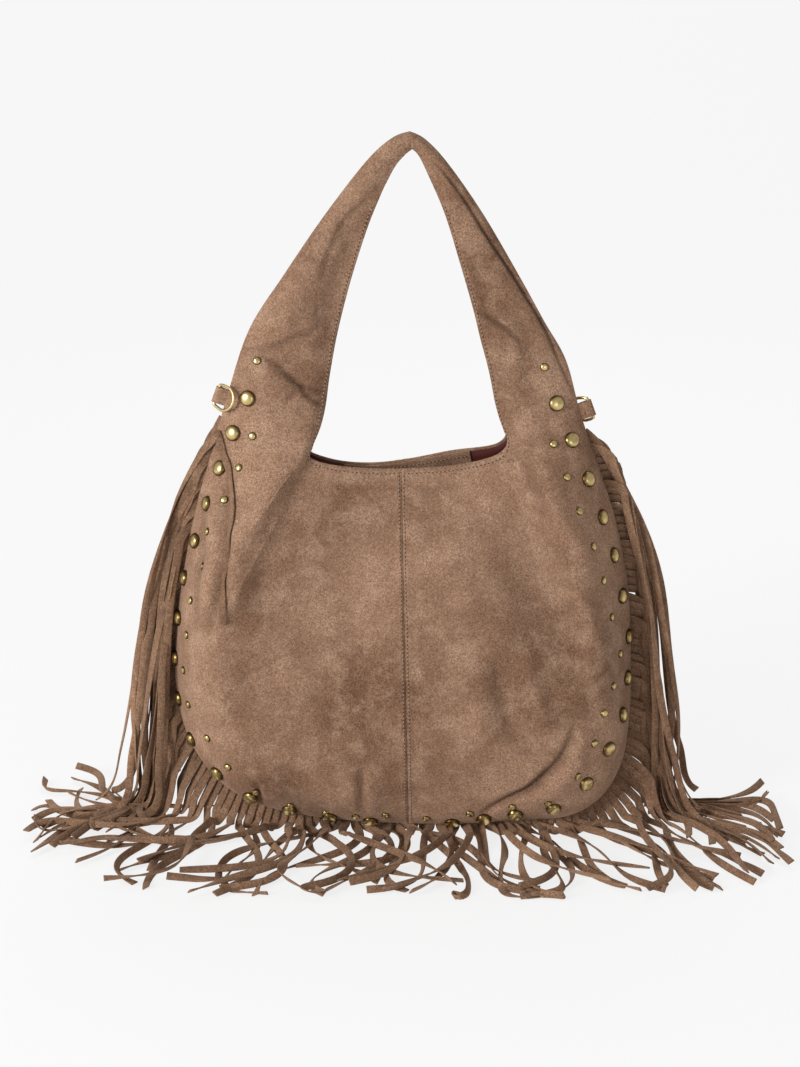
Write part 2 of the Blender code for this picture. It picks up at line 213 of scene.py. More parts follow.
@dataclass(frozen=True)
class SuedeFinish:
    """Imitation suede: a polyester microfibre cloth, brushed to a short nap.

    The nap is matt, catches light at grazing angles and darkens where it is stroked the other way,
    which gives the soft blotches. Real fibres are about 0.02 mm, so the grain is drawn at 0.5 mm.
    """

    name: str
    base: str
    stroked: str
    scuffed: str
    # colour of painted shade, mixed in where folds, the seam groove and strand roots are marked
    hollow: str
    cloud_mm: float = 95.0
    grain_mm: float = 0.5
    sheen: float = 0.3
    bump_mm: float = 0.22
    per_strand: bool = False

    def build(self) -> bpy.types.Material:
        """Make the material."""
        material, tree, shader = new_material(self.name)
        place = add_node(tree, "ShaderNodeTexCoord").outputs["Object"]
        noises = {}
        for key, size, detail, rough in (
            ("cloud", self.cloud_mm, 3.0, 0.5), ("brush", self.cloud_mm / 5.0, 5.0, 0.68),
            ("fleck", self.grain_mm * 2.6, 3.0, 0.75), ("grain", self.grain_mm, 3.0, 0.8),
        ):
            settings = {"Scale": 1000.0 / size, "Detail": detail, "Roughness": rough, "Distortion": 0.3}
            noises[key] = add_node(tree, "ShaderNodeTexNoise", settings, {"Vector": place}).outputs["Fac"]
        grain, fleck = noises["grain"], noises["fleck"]
        broad = mix_colours(tree, remap(tree, noises["cloud"], 0.3, 0.7), self.stroked, self.base)
        worn = mix_colours(tree, remap(tree, noises["brush"], 0.45, 0.75, high=0.45), broad, self.scuffed)
        speck = remap(tree, fleck, 0.36, 0.64, 0.6, 1.4)
        fibre = remap(tree, grain, 0.36, 0.64, 0.58, 1.42)
        both = add_node(tree, "ShaderNodeMath", {"operation": "MULTIPLY"}, {0: speck, 1: fibre})
        # painted shade: darker colour where the mesh's attribute marks folds, the seam groove and strand
        # roots
        shade = add_node(tree, "ShaderNodeAttribute", {"attribute_name": "hollow"})
        sunk = mix_colours(tree, shade.outputs["Fac"], worn, self.hollow)
        colour = scale_colour(tree, sunk, both.outputs[0])
        if self.per_strand:
            strand = add_node(tree, "ShaderNodeAttribute", {"attribute_name": "tone"})
            colour = scale_colour(tree, colour, strand.outputs["Fac"])
        tree.links.new(colour, shader.inputs["Base Color"])
        height = add_node(tree, "ShaderNodeMath", {"operation": "MULTIPLY_ADD", 1: 0.6}, {0: fleck, 2: grain})
        add_bump(tree, shader, height.outputs[0], 0.55, self.bump_mm)
        set_inputs(shader, {
            "Roughness": 0.93,
            "Specular IOR Level": 0.12,
            "Sheen Weight": self.sheen,
            "Sheen Roughness": 0.45,
            "Sheen Tint": to_linear("d9bfa8"),
        })
        return material


@dataclass(frozen=True)
class LiningFinish:
    """Polyester lining in a plain weave: thin threads, a low satin gloss."""

    name: str = "burgundy_polyester_plain_weave"
    base: str = "5e2724"
    shade: str = "3a1713"
    thread_mm: float = 0.7      # real threads are about 0.25 mm apart, drawn coarser so that they show

    def build(self) -> bpy.types.Material:
        """Make the material."""
        material, tree, shader = new_material(self.name)
        place = add_node(tree, "ShaderNodeTexCoord").outputs["Object"]
        scale = 1000.0 / self.thread_mm / (2.0 * math.pi)
        warp, weft = (
            add_node(
                tree, "ShaderNodeTexWave",
                {"bands_direction": axis, "Scale": scale, "Distortion": 0.6}, {"Vector": place},
            ).outputs["Fac"]
            for axis in ("X", "Z")
        )
        weave = add_node(tree, "ShaderNodeMath", {"operation": "MULTIPLY"}, {0: warp, 1: weft})
        rumple = add_node(tree, "ShaderNodeTexNoise", {"Scale": 60.0, "Detail": 4.0}, {"Vector": place})
        colour = mix_colours(tree, rumple.outputs["Fac"], self.shade, self.base)
        tree.links.new(colour, shader.inputs["Base Color"])
        add_bump(tree, shader, weave.outputs[0], 0.3, 0.1)
        set_inputs(shader, {"Roughness": 0.6, "Specular IOR Level": 0.25})
        return material


@dataclass(frozen=True)
class MetalFinish:
    """Plated metal: bright plating, darker patches of plating at random, painted shade along a stud's rim for
    the dark reflections there, fine wear marks.
    """

    name: str
    bright: str
    dark: str
    roughness: float
    patch_mm: float = 3.0

    def build(self) -> bpy.types.Material:
        """Make the material."""
        material, tree, shader = new_material(self.name)
        place = add_node(tree, "ShaderNodeTexCoord").outputs["Object"]
        patch = add_node(
            tree, "ShaderNodeTexNoise", {"Scale": 1000.0 / self.patch_mm, "Detail": 5.0, "Roughness": 0.65},
            {"Vector": place},
        ).outputs["Fac"]
        # painted shade: the rim attribute darkens a stud's outer edge in place of its dark reflections; the
        # noise patches are worn plating
        rim = add_node(tree, "ShaderNodeAttribute", {"attribute_name": "rim"}).outputs["Fac"]
        amount = remap(tree, patch, 0.35, 0.75, high=0.45)
        total = add_node(tree, "ShaderNodeMath", {"operation": "ADD", "use_clamp": True}, {0: amount, 1: rim})
        colour = mix_colours(tree, total.outputs[0], self.bright, self.dark)
        tree.links.new(colour, shader.inputs["Base Color"])
        rough = remap(tree, patch, 0.0, 1.0, self.roughness - 0.06, self.roughness + 0.12)
        tree.links.new(rough, shader.inputs["Roughness"])
        marks = add_node(tree, "ShaderNodeTexNoise", {"Scale": 1600.0, "Detail": 3.0}, {"Vector": place})
        add_bump(tree, shader, marks.outputs["Fac"], 0.12, 0.05)
        set_inputs(shader, {"Metallic": 1.0})
        return material


@dataclass(frozen=True)
class ThreadFinish:
    """Polyester sewing thread: two plies twisted together, a faint gloss."""

    name: str = "tan_polyester_thread"
    base: str = "a88d78"
    shade: str = "7a5f4d"

    def build(self) -> bpy.types.Material:
        """Make the material."""
        material, tree, shader = new_material(self.name)
        place = add_node(tree, "ShaderNodeTexCoord").outputs["Object"]
        ply = add_node(tree, "ShaderNodeTexNoise", {"Scale": 900.0, "Detail": 2.0}, {"Vector": place})
        colour = mix_colours(tree, ply.outputs["Fac"], self.shade, self.base)
        tree.links.new(colour, shader.inputs["Base Color"])
        set_inputs(shader, {"Roughness": 0.6})
        return material


class Finishes:
    """All of the bag's materials, made once."""

    def __init__(self) -> None:
        """Make every finish."""
        self.suede = SuedeFinish("taupe_microfibre_suede", "95755f", "654937", "b5977f", "38261c").build()
        # the same suede as the panels in darker colours: painted shade for the strands' shadows on one
        # another
        self.strand = SuedeFinish(
            "taupe_suede_cut_strands", "84664f", "6b503e", "9d7f69", "33221a", cloud_mm=40.0, per_strand=True,
        ).build()
        self.lining = LiningFinish().build()
        self.brass = MetalFinish("antique_brass_plated_steel", "d9c188", "5c4724", 0.28).build()
        self.gold = MetalFinish("pale_gold_plated_steel_wire", "d0bb88", "85714a", 0.33).build()
        self.thread = ThreadFinish().build()
        # painted shade: dark beads for the shade in the needle holes
        self.hole = SuedeFinish("suede_edge_of_needle_hole", "3c281c", "33211a", "4a3527", "20140e").build()


# ---------------------------------------------------------------- mesh helpers


def link(obj: bpy.types.Object) -> bpy.types.Object:
    """Put an object in the scene."""
    bpy.context.scene.collection.objects.link(obj)
    return obj


def mesh_object(
    name: str, vertices: np.ndarray, faces: list, material: bpy.types.Material,
) -> bpy.types.Object:
    """Make a smooth-shaded mesh object from millimetre points."""
    mesh = bpy.data.meshes.new(name)
    mesh.from_pydata((np.asarray(vertices, float) * MM).tolist(), [], faces)
    mesh.update()
    mesh.materials.append(material)
    mesh.shade_smooth()
    return link(bpy.data.objects.new(name, mesh))


def grid_faces(rows: int, columns: int, first: int = 0) -> list[tuple[int, int, int, int]]:
    """Quads of a grid of vertices."""
    quads = []
    for i in range(rows - 1):
        for j in range(columns - 1):
            a = first + i * columns + j
            quads.append((a, a + 1, a + columns + 1, a + columns))
    return quads


def grid_object(name: str, grid: np.ndarray, material: bpy.types.Material) -> bpy.types.Object:
    """Make a mesh object from a grid of points."""
    return mesh_object(name, grid.reshape(-1, 3), grid_faces(*grid.shape[:2]), material)


def node_middle(node: str) -> np.ndarray:
    """Middle of a node's box, in millimetres."""
    low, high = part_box(node)
    return (np.array(low) + np.array(high)) / 2 / MM


def set_attribute(mesh: bpy.types.Mesh, name: str, values: np.ndarray) -> None:
    """Store one number for each vertex."""
    layer = mesh.attributes.new(name, "FLOAT", "POINT")
    layer.data.foreach_set("value", np.asarray(values, np.float32).ravel())


def turn_faces_out(obj: bpy.types.Object, weld: float = 0.0) -> None:
    """Turn a closed mesh's faces outwards, first joining points closer than `weld` metres."""
    bm = bmesh.new()
    bm.from_mesh(obj.data)
    if weld:
        bmesh.ops.remove_doubles(bm, verts=bm.verts, dist=weld)
    bmesh.ops.recalc_face_normals(bm, faces=bm.faces)
    bm.to_mesh(obj.data)
    bm.free()


def add_wall(obj: bpy.types.Object, thickness: float, offset: float = -1.0) -> None:
    """Give a sheet its wall, in millimetres: behind its faces, or to both sides where the offset is 0."""
    wall = obj.modifiers.new("wall", "SOLIDIFY")
    wall.thickness = thickness * MM
    wall.offset = offset


def walled(
    obj: bpy.types.Object, outward: tuple[float, float, float], thickness: float, edge: float = 0.0,
) -> None:
    """Turn an open sheet's faces outwards, give it its wall inside, and round its edges.

    Args:
        obj: the open sheet.
        outward: a direction that the sheet faces on the whole.
        thickness: the wall, in millimetres.
        edge: width of the rounding along the sheet's edges, in millimetres.
    """
    bm = bmesh.new()
    bm.from_mesh(obj.data)
    bmesh.ops.recalc_face_normals(bm, faces=bm.faces)
    total = sum((face.normal * face.calc_area() for face in bm.faces), Vector())
    if total.dot(Vector(outward)) < 0.0:
        bmesh.ops.reverse_faces(bm, faces=bm.faces)
    bm.to_mesh(obj.data)
    bm.free()
    add_wall(obj, thickness)
    if edge:
        soft = obj.modifiers.new("soft_edge", "BEVEL")
        soft.width = edge * MM
        soft.segments = 2
        soft.limit_method = "ANGLE"
        soft.angle_limit = math.radians(60.0)
    bake(obj)


def bake(obj: bpy.types.Object) -> None:
    """Replace an object's mesh by its evaluated mesh and remove its modifiers."""
    evaluated = obj.evaluated_get(bpy.context.evaluated_depsgraph_get())
    mesh = bpy.data.meshes.new_from_object(evaluated)
    obj.modifiers.clear()
    obj.data = mesh
    mesh.name = obj.name


# ---------------------------------------------------------------- the bag's shape


@dataclass(frozen=True)
class Crease:
    """A fold drawn on a panel: a path in x and z, its width, how deep it sinks (negative stands up), and the
    painted shade that darkens it.
    """

    path: tuple[tuple[float, float], ...]
    width: float
    depth: float
    shade: float = 0.0

    def press(self, x: np.ndarray, z: np.ndarray) -> np.ndarray:
        """Strength of the fold, 0 to 1, at places on a panel; it fades towards both ends."""
        path = curve_through(self.path, np.linspace(0.0, 1.0, 24))
        best = np.full(x.shape, 1e9)
        where = np.zeros(x.shape)
        for k in range(len(path) - 1):
            a, d = path[k], path[k + 1] - path[k]
            t = np.clip(((x - a[0]) * d[0] + (z - a[1]) * d[1]) / (d @ d), 0.0, 1.0)
            gap = np.hypot(x - a[0] - t * d[0], z - a[1] - t * d[1])
            near = gap < best
            best = np.where(near, gap, best)
            where = np.where(near, (k + t) / (len(path) - 1), where)
        ends = np.sin(np.pi * np.clip(where, 0.0, 1.0)) ** 0.6
        return np.exp(-(best / self.width) ** 2) * ends


@dataclass
class BagShape:
    """The closed curved form that the panels, lining and trim share."""

    left: tuple = (
        ((0, -30, 5), (0, 290)), ((-45, -30, 8), (-20, 290)), ((-92, -30, 15), (-38, 291)),
        ((-128, -28, 27), (-52, 292.5)), ((-155, -19, 47), (-62, 294.5)), ((-174, -6, 77), (-68, 296.5)),
        ((-181, 0, 118), (-72, 299)), ((-179, 0, 165), (-71, 304)), ((-171, 0, 212), (-68, 310)),
        ((-161, 0, 258), (-64, 320)), ((-147, 0, 305), (-60, 337)), ((-135.5, 0, 345), (-56.5, 362)),
        ((-118, 0, 396), (-50, 396)), ((-91, 0, 438), (-39, 438)), ((-60, 0, 483), (-24, 483)),
        ((-28, 0, 524), (-9, 516)), ((-9, 0, 541), (0, 528)), ((4.2, 0, 546), (6.2, 533)),
    )
    right: tuple = (
        ((0, -30, 5), (0, 290)), ((48, -30, 5), (22, 291)), ((92, -30, 8), (40, 293)),
        ((130, -29, 11), (54, 295.5)), ((156, -22, 24), (65, 298.5)), ((173, -10, 48), (73, 302)),
        ((179.5, -1, 85), (78, 307)), ((179.5, 0, 135), (79, 313)), ((176, 0, 190), (77, 320)),
        ((165, 0, 245), (73, 331)), ((151, 0, 288), (69, 347)), ((136, 0, 330), (64.5, 366)),
        ((124, 0, 372), (58, 390)), ((107, 0, 402), (52.5, 412)), ((88, 0, 436), (45, 438)),
        ((60, 0, 483.5), (31, 483.5)), ((33, 0, 522), (17, 516)), ((16, 0, 540), (11, 528)),
        ((4.2, 0, 546), (6.2, 533)),
    )
    front_seam: tuple[float, float] = (4.0, -2.0)
    back_seam: tuple[float, float] = (-4.0, -2.0)
    seam_gap: float = 0.04
    panel_span: float = 285.0       # rough distance from the bottom seam to the rim
    ply_offset: float = 1.7
    rim_front: float = 12.0
    rim_back: float = 14.0
    rim_open_z: float = 304.0
    rim_closed_z: float = 340.0
    belly_z: tuple = (5, 30, 60, 110, 180, 250, 300, 345, 430, 546)
    belly_front: tuple = (30, 36, 44, 50, 44, 26, 14, 9, 6, 4)
    belly_back: tuple = (78, 74, 64, 50, 43, 26, 14, 9, 6, 4)
    roundness: tuple = (0.55, 0.57, 0.62, 0.74, 0.84, 0.86, 0.86, 0.86, 0.8, 0.8)
    rim_lift: float = 5.5
    rim_dip: float = 2.5
    rim_wave_x: float = 40.0
    rim_wave_span: float = 33.0
    sag: float = 80.0
    sag_top_z: float = 95.0
    sag_span: float = 0.45
    # the fourth number of a crease is painted shade darkening the fold
    front_creases: tuple[Crease, ...] = (
        Crease(((-124, 382), (-106, 383), (-87, 390), (-66, 396)), 2.4, 2.6, 0.42),
        Crease(((-112, 379), (-98, 371), (-87, 361), (-77, 353), (-58, 347)), 2.0, 3.4, 0.62),
        Crease(((-79, 354), (-73, 345), (-62, 337)), 1.9, 2.4, 0.45),
        Crease(((-118, 368), (-100, 358), (-86, 346)), 8.0, -3.0),
        Crease(((-112, 398), (-90, 408), (-66, 410)), 11.0, -3.0),
        Crease(((-14, 509), (-31, 492), (-45, 478), (-57, 452), (-62, 430)), 3.4, 2.0, 0.2),
        Crease(((-28, 488), (-46, 455), (-56, 415), (-62, 380)), 10.0, 2.6, 0.3),
        Crease(((64, 262), (84, 226), (106, 176), (122, 128)), 26.0, 1.4, 0.3),
        Crease(((-66, 452), (-84, 420), (-96, 396)), 9.0, -3.4),
        Crease(((-64, 360), (-60, 330), (-66, 305)), 7.0, 2.2, 0.10),
        Crease(((56, 411), (68, 403), (77, 398), (90, 388)), 2.0, 2.6, 0.5),
        Crease(((70, 425), (90, 395), (96, 368), (95, 335)), 8.0, 3.4, 0.18),
        Crease(((78, 372), (76, 345), (80, 315)), 8.0, -2.4),
        Crease(((48, 452), (60, 425), (64, 395)), 6.0, 2.2, 0.14),
        Crease(((-136, 292), (-135, 247), (-140, 207), (-148, 168)), 3.6, 4.6, 0.34),
        Crease(((-146, 284), (-146, 230), (-151, 176)), 5.0, -3.6),
        Crease(((-156, 272), (-156, 220), (-158, 170)), 3.0, 2.6, 0.24),
        Crease(((133, 98), (122, 70), (107, 52), (95, 40), (81, 31), (60, 16)), 3.2, 7.0, 0.68),
        Crease(((140, 92), (131, 62), (116, 44), (98, 30)), 9.0, -5.5),
        Crease(((72, 148), (78, 112), (90, 84), (112, 62)), 7.0, 4.6, 0.20),
        Crease(((93, 158), (101, 123), (112, 96)), 8.0, -4.2),
        Crease(((56, 158), (58, 110), (70, 72), (92, 50)), 11.0, -3.4),
        Crease(((-33, 64), (-34, 40), (-32, 20)), 2.6, 3.6, 0.45),
        Crease(((-24, 60), (-25, 40), (-22, 22)), 4.5, -2.2),
        Crease(((-115, 48), (-114, 36), (-112, 22)), 3.0, 3.8, 0.40),
        Crease(((-96, 42), (-78, 28), (-58, 20)), 7.0, 3.4, 0.20),
        Crease(((-124, 158), (-100, 124), (-66, 98)), 18.0, 3.4, 0.06),
        Crease(((-56, 262), (-80, 210), (-80, 150)), 24.0, -2.4),
        Crease(((16, 64), (56, 46), (96, 58)), 13.0, 2.6, 0.08),
        Crease(((50, 270), (70, 220), (66, 160)), 20.0, 2.6, 0.10),
        Crease(((-56, 277), (-20, 275), (0, 274)), 2.2, 1.4, 0.16),
        Crease(((6, 274), (30, 276), (48, 280)), 2.2, 1.4, 0.16),
        Crease(((-74, 300), (-86, 282), (-92, 250)), 12.0, 2.2, 0.14),
        Crease(((80, 306), (94, 288), (102, 256)), 8.0, 3.2, 0.14),
        Crease(((106, 300), (118, 262), (118, 210)), 11.0, -2.6),
    )
    back_creases: tuple[Crease, ...] = (
        Crease(((-118, 372), (-98, 364), (-76, 350)), 4.5, 2.2, 0.12),
        Crease(((64, 350), (90, 368), (112, 380)), 4.5, 2.2, 0.12),
        Crease(((-140, 285), (-138, 235), (-146, 175)), 6.0, 3.0, 0.10),
        Crease(((142, 280), (140, 220), (150, 160)), 7.0, 2.6, 0.08),
        Crease(((-120, 90), (-90, 60), (-50, 44)), 7.0, 3.0, 0.08),
        Crease(((126, 96), (96, 62), (60, 48)), 7.0, 3.0, 0.08),
        Crease(((-20, 200), (10, 150), (4, 90)), 22.0, 2.4),
        Crease(((30, 505), (48, 484), (62, 460)), 3.4, 2.0, 0.12),
        Crease(((-70, 300), (-84, 284), (-90, 260)), 7.0, 1.8),
        Crease(((80, 304), (94, 284), (98, 260)), 8.0, 1.8),
    )
    # the strap's seam as a fold, with painted shade in it
    strap_seam: Crease = Crease(
        (
            (22, 524), (32, 514), (46, 495), (62, 469), (75, 450),
            (88, 430), (108, 397), (118, 373), (133, 342),
        ),
        1.5, 2.4, 0.75,
    )

    def at_section(self, side: Side, number: float) -> float:
        """Place u of a section of one half, counted from 0 at the bottom middle."""
        return number / (len(self.left if side is Side.LEFT else self.right) - 1)

    def surface(self, side: Side, face: Face, u: np.ndarray, v: np.ndarray) -> np.ndarray:
        """Outer surface without folds, at u along a panel and v across it, in millimetres."""
        sections = self.left if side is Side.LEFT else self.right
        seam = self.front_seam if face is Face.FRONT else self.back_seam
        outer = [list(section[0]) for section in sections]
        inner = [list(section[1]) for section in sections]
        outer[0][0] = seam[0] + side.value * self.seam_gap / 2
        inner[0][0] = seam[1] + side.value * self.seam_gap / 2
        sewn = curve_through(outer, u)
        rim = curve_through(inner, u)
        height, out = sewn[..., 2], float(face.value)
        apart = 1.0 - smooth((rim[..., 1] - self.rim_open_z) / (self.rim_closed_z - self.rim_open_z))
        rim_depth = self.rim_front if face is Face.FRONT else self.rim_back
        rim_y = out * (self.ply_offset + (rim_depth - self.ply_offset) * apart)
        belly = np.interp(height, self.belly_z, self.belly_front if face is Face.FRONT else self.belly_back)
        power = np.interp(height, self.belly_z, self.roundness)
        sewn_y = sewn[..., 1] + out * self.ply_offset
        x = sewn[..., 0] + (rim[..., 0] - sewn[..., 0]) * v
        y = sewn_y + (rim_y - sewn_y) * v + out * belly * np.sin(np.pi * v ** power)
        z = height + (rim[..., 1] - height) * v
        if face is Face.BACK:
            low = 1.0 - smooth(height / self.sag_top_z)
            sink = self.sag * low * np.clip(1.0 - v / self.sag_span, 0.0, 1.0) ** 2 * smooth(v / 0.03)
            lift = self.rim_lift * np.exp(-((rim[..., 0] - self.rim_wave_x) / self.rim_wave_span) ** 2)
            dip = self.rim_dip * np.exp(-((rim[..., 0] + self.rim_wave_x) / self.rim_wave_span) ** 2)
            z = np.maximum(z - sink, 0.0) + (lift - dip) * apart * v ** 8
        return np.stack([x, y, z], axis=-1)

    def normals(self, side: Side, face: Face, points: np.ndarray) -> np.ndarray:
        """Outward normals of a grid of surface points."""
        normal = unit(np.cross(np.gradient(points, axis=0), np.gradient(points, axis=1)))
        flip = -float(face.value) * float(side.value)
        return normal * flip

    def grid(
        self, side: Side, face: Face, rows: int, columns: int,
        u_range: tuple[float, float] = (0.0, 1.0), v_range: tuple[float, float] = (0.0, 1.0),
    ) -> tuple[np.ndarray, np.ndarray, np.ndarray]:
        """Surface points, their u and their v, on a grid whose rows crowd towards the sewn edge."""
        u = np.linspace(u_range[0], u_range[1], rows)
        v = np.linspace(v_range[0] ** 0.75, v_range[1] ** 0.75, columns) ** (1 / 0.75)
        uu, vv = np.meshgrid(u, v, indexing="ij")
        return self.surface(side, face, uu, vv), uu, vv

    def folded(
        self, side: Side, face: Face, points: np.ndarray, v: np.ndarray,
    ) -> tuple[np.ndarray, np.ndarray]:
        """Press the folds into a grid of surface points.

        Returns:
            The folded points, and the painted shade that each gets in folds and in the seam groove, from 0 to
            1.
        """
        x, z = points[..., 0], points[..., 2]
        sink = np.zeros(x.shape)
        hollow = np.zeros(x.shape)
        creases = self.front_creases if face is Face.FRONT else self.back_creases
        if side is Side.RIGHT and face is Face.FRONT:
            creases = (*creases, self.strap_seam)
        for crease in creases:
            press = crease.press(x, z)
            sink += crease.depth * press
            # painted shade along each fold
            hollow += crease.shade * press
        seam = self.front_seam if face is Face.FRONT else self.back_seam
        seam_x = seam[0] + (seam[1] - seam[0]) * np.clip(z / 290.0, 0.0, 1.0)
        groove = np.exp(-((x - seam_x) / 1.1) ** 2) * (z < 300.0)
        ridge = np.exp(-((np.abs(x - seam_x) - 3.0) / 2.2) ** 2) * (z < 300.0)
        groove = groove * smooth((284.0 - z) / 8.0)
        sink += 0.3 * groove - 0.5 * ridge
        # painted shade in the groove of the centre seam
        hollow += 0.1 * groove
        phase = 0.0 if face is Face.FRONT else 1.7
        wave = (
            2.0 * np.sin(x / 31.0 + phase) * np.sin(z / 43.0 + 0.6 + phase)
            + 1.2 * np.sin(x / 17.0 + z / 26.0 + phase) * np.sin(z / 19.0 - x / 37.0)
            + 0.4 * np.sin(x / 8.5 - z / 12.0) * np.sin(z / 9.5 + x / 14.0 + phase)
        )
        free = smooth(v / 0.10) * smooth((1.0 - v) / 0.12)
        body = 1.0 - smooth((z - 300.0) / 80.0)
        sink = sink * smooth(v / 0.05 + 0.15) + wave * free * (0.45 + 0.75 * body)
        normal = self.normals(side, face, points)
        moved = points - normal * sink[..., None]
        if face is Face.BACK:
            flat = points[..., 2] < 0.01
            moved = np.where(flat[..., None], points, moved)
        moved[..., 2] = np.maximum(moved[..., 2], 0.0)
        return moved, np.clip(hollow, 0.0, 1.0)


# ---------------------------------------------------------------- sub-assemblies


@dataclass
class SuedePanels:
    """The four suede panels that make the body and the two-ply strap."""

    shape: BagShape
    finishes: Finishes
    rows: int = 290
    columns: int = 96
    wall: float = 1.4
    pattern: tuple[float, float] = (0.215, 0.6)     # the cut piece's width and length, in metres

    def build(self) -> dict[tuple[Side, Face], BVHTree]:
        """Make the panels.

        Returns:
            A search tree of each panel's folded outer surface, in millimetres.
        """
        trees = {}
        for face in Face:
            for side in Side:
                points, _, v = self.shape.grid(side, face, self.rows, self.columns)
                points, hollow = self.shape.folded(side, face, points, v)
                name = f"{face.word}_panel_{side.word}"
                obj = grid_object(f"suede_{name}", points, self.finishes.suede)
                set_attribute(obj.data, "hollow", hollow)
                trees[side, face] = self.tree(points, side, face)
                walled(obj, (0.0, float(face.value), 0.0), self.wall)
                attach(obj, BODY)
                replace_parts(obj, name)
                LOG.info("%s: %d faces", obj.name, len(obj.data.polygons))
        return trees

    def tree(self, points: np.ndarray, side: Side, face: Face) -> BVHTree:
        """Search tree of a panel's outer surface, with its faces turned out of the bag."""
        faces = grid_faces(*points.shape[:2])
        if side.value * face.value < 0:
            faces = [quad[::-1] for quad in faces]
        return BVHTree.FromPolygons(points.reshape(-1, 3).tolist(), faces)


@dataclass
class Lining:
    """The lining pouch and the two suede facing strips sewn over its top."""

    shape: BagShape
    finishes: Finishes
    depth: float = 2.4
    slack: float = 10.0
    wall: float = 0.7
    back_limit: float = 32.0
    facing_height: float = 24.0
    pattern: tuple[float, float] = (0.37, 0.6)      # cut width and length, front and back in one, in metres
    pouch_ends: tuple[float, float] = (8, 7)        # the section at which each half of the pouch ends
    facing_ends: tuple[float, float] = (2.55, 2.75)     # the same for the facings

    def offset(self, side: Side, face: Face, points: np.ndarray, depth: np.ndarray | float) -> np.ndarray:
        """Points moved into the bag along their normals."""
        return points - self.shape.normals(side, face, points) * np.asarray(depth)[..., None]

    def pouch(self) -> bpy.types.Object:
        """The lining: front and back, joined round the bottom, closed where the strap begins."""
        rows = {}
        for face in Face:
            halves = []
            for side, end in zip(Side, self.pouch_ends):
                last = self.shape.at_section(side, end)
                points, _, v = self.shape.grid(side, face, 90, 60, (0.004, last), (0.06, 0.996))
                rumple = 0.5 * np.sin(points[..., 0] / 5.3 + points[..., 2] / 17.0) * (1.0 - v)
                depth = self.depth + self.slack * (1.0 - v) ** 2 + rumple + 7.0 * smooth((1.0 - v) / 0.16)
                halves.append(self.offset(side, face, points, depth))
            rows[face] = np.concatenate([halves[0][::-1], halves[1]])
        front, back = rows[Face.FRONT], rows[Face.BACK]
        back[..., 1] = np.minimum(back[..., 1], self.back_limit)
        back[:, 0] = front[:, 0]
        count, columns = front.shape[:2]
        start = count * columns
        faces = grid_faces(count, columns) + grid_faces(count, columns, start)
        for row in (0, count - 1):
            for a in range(row * columns, (row + 1) * columns - 1):
                faces.append((a, a + 1, start + a + 1, start + a))
        vertices = np.concatenate([front.reshape(-1, 3), back.reshape(-1, 3)])
        obj = mesh_object("lining_pouch", vertices, faces, self.finishes.lining)
        turn_faces_out(obj, weld=1e-6)
        add_wall(obj, self.wall)
        bake(obj)
        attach(obj, BODY)
        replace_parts(obj, "lining")
        return obj

    def facings(self) -> None:
        """The strips inside the two rims."""
        low = 1.0 - self.facing_height / self.shape.panel_span
        for face in Face:
            halves = []
            for side, end in zip(Side, self.facing_ends):
                last = self.shape.at_section(side, end)
                points, _, _ = self.shape.grid(side, face, 26, 14, (0.002, last), (low, 0.9985))
                halves.append(self.offset(side, face, points, self.depth + self.wall + 0.3))
            points = np.concatenate([halves[0][::-1], halves[1]])
            obj = grid_object(f"suede_{face.word}_facing", points, self.finishes.suede)
            walled(obj, (0.0, float(face.value), 0.0), 1.1, 0.3)
            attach(obj, BODY)
            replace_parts(obj, f"{face.word}_facing")

    def build(self) -> None:
        """Make the pouch and the facings."""
        pouch = self.pouch()
        self.facings()
        LOG.info("%s and facings: %d faces", pouch.name, len(pouch.data.polygons))


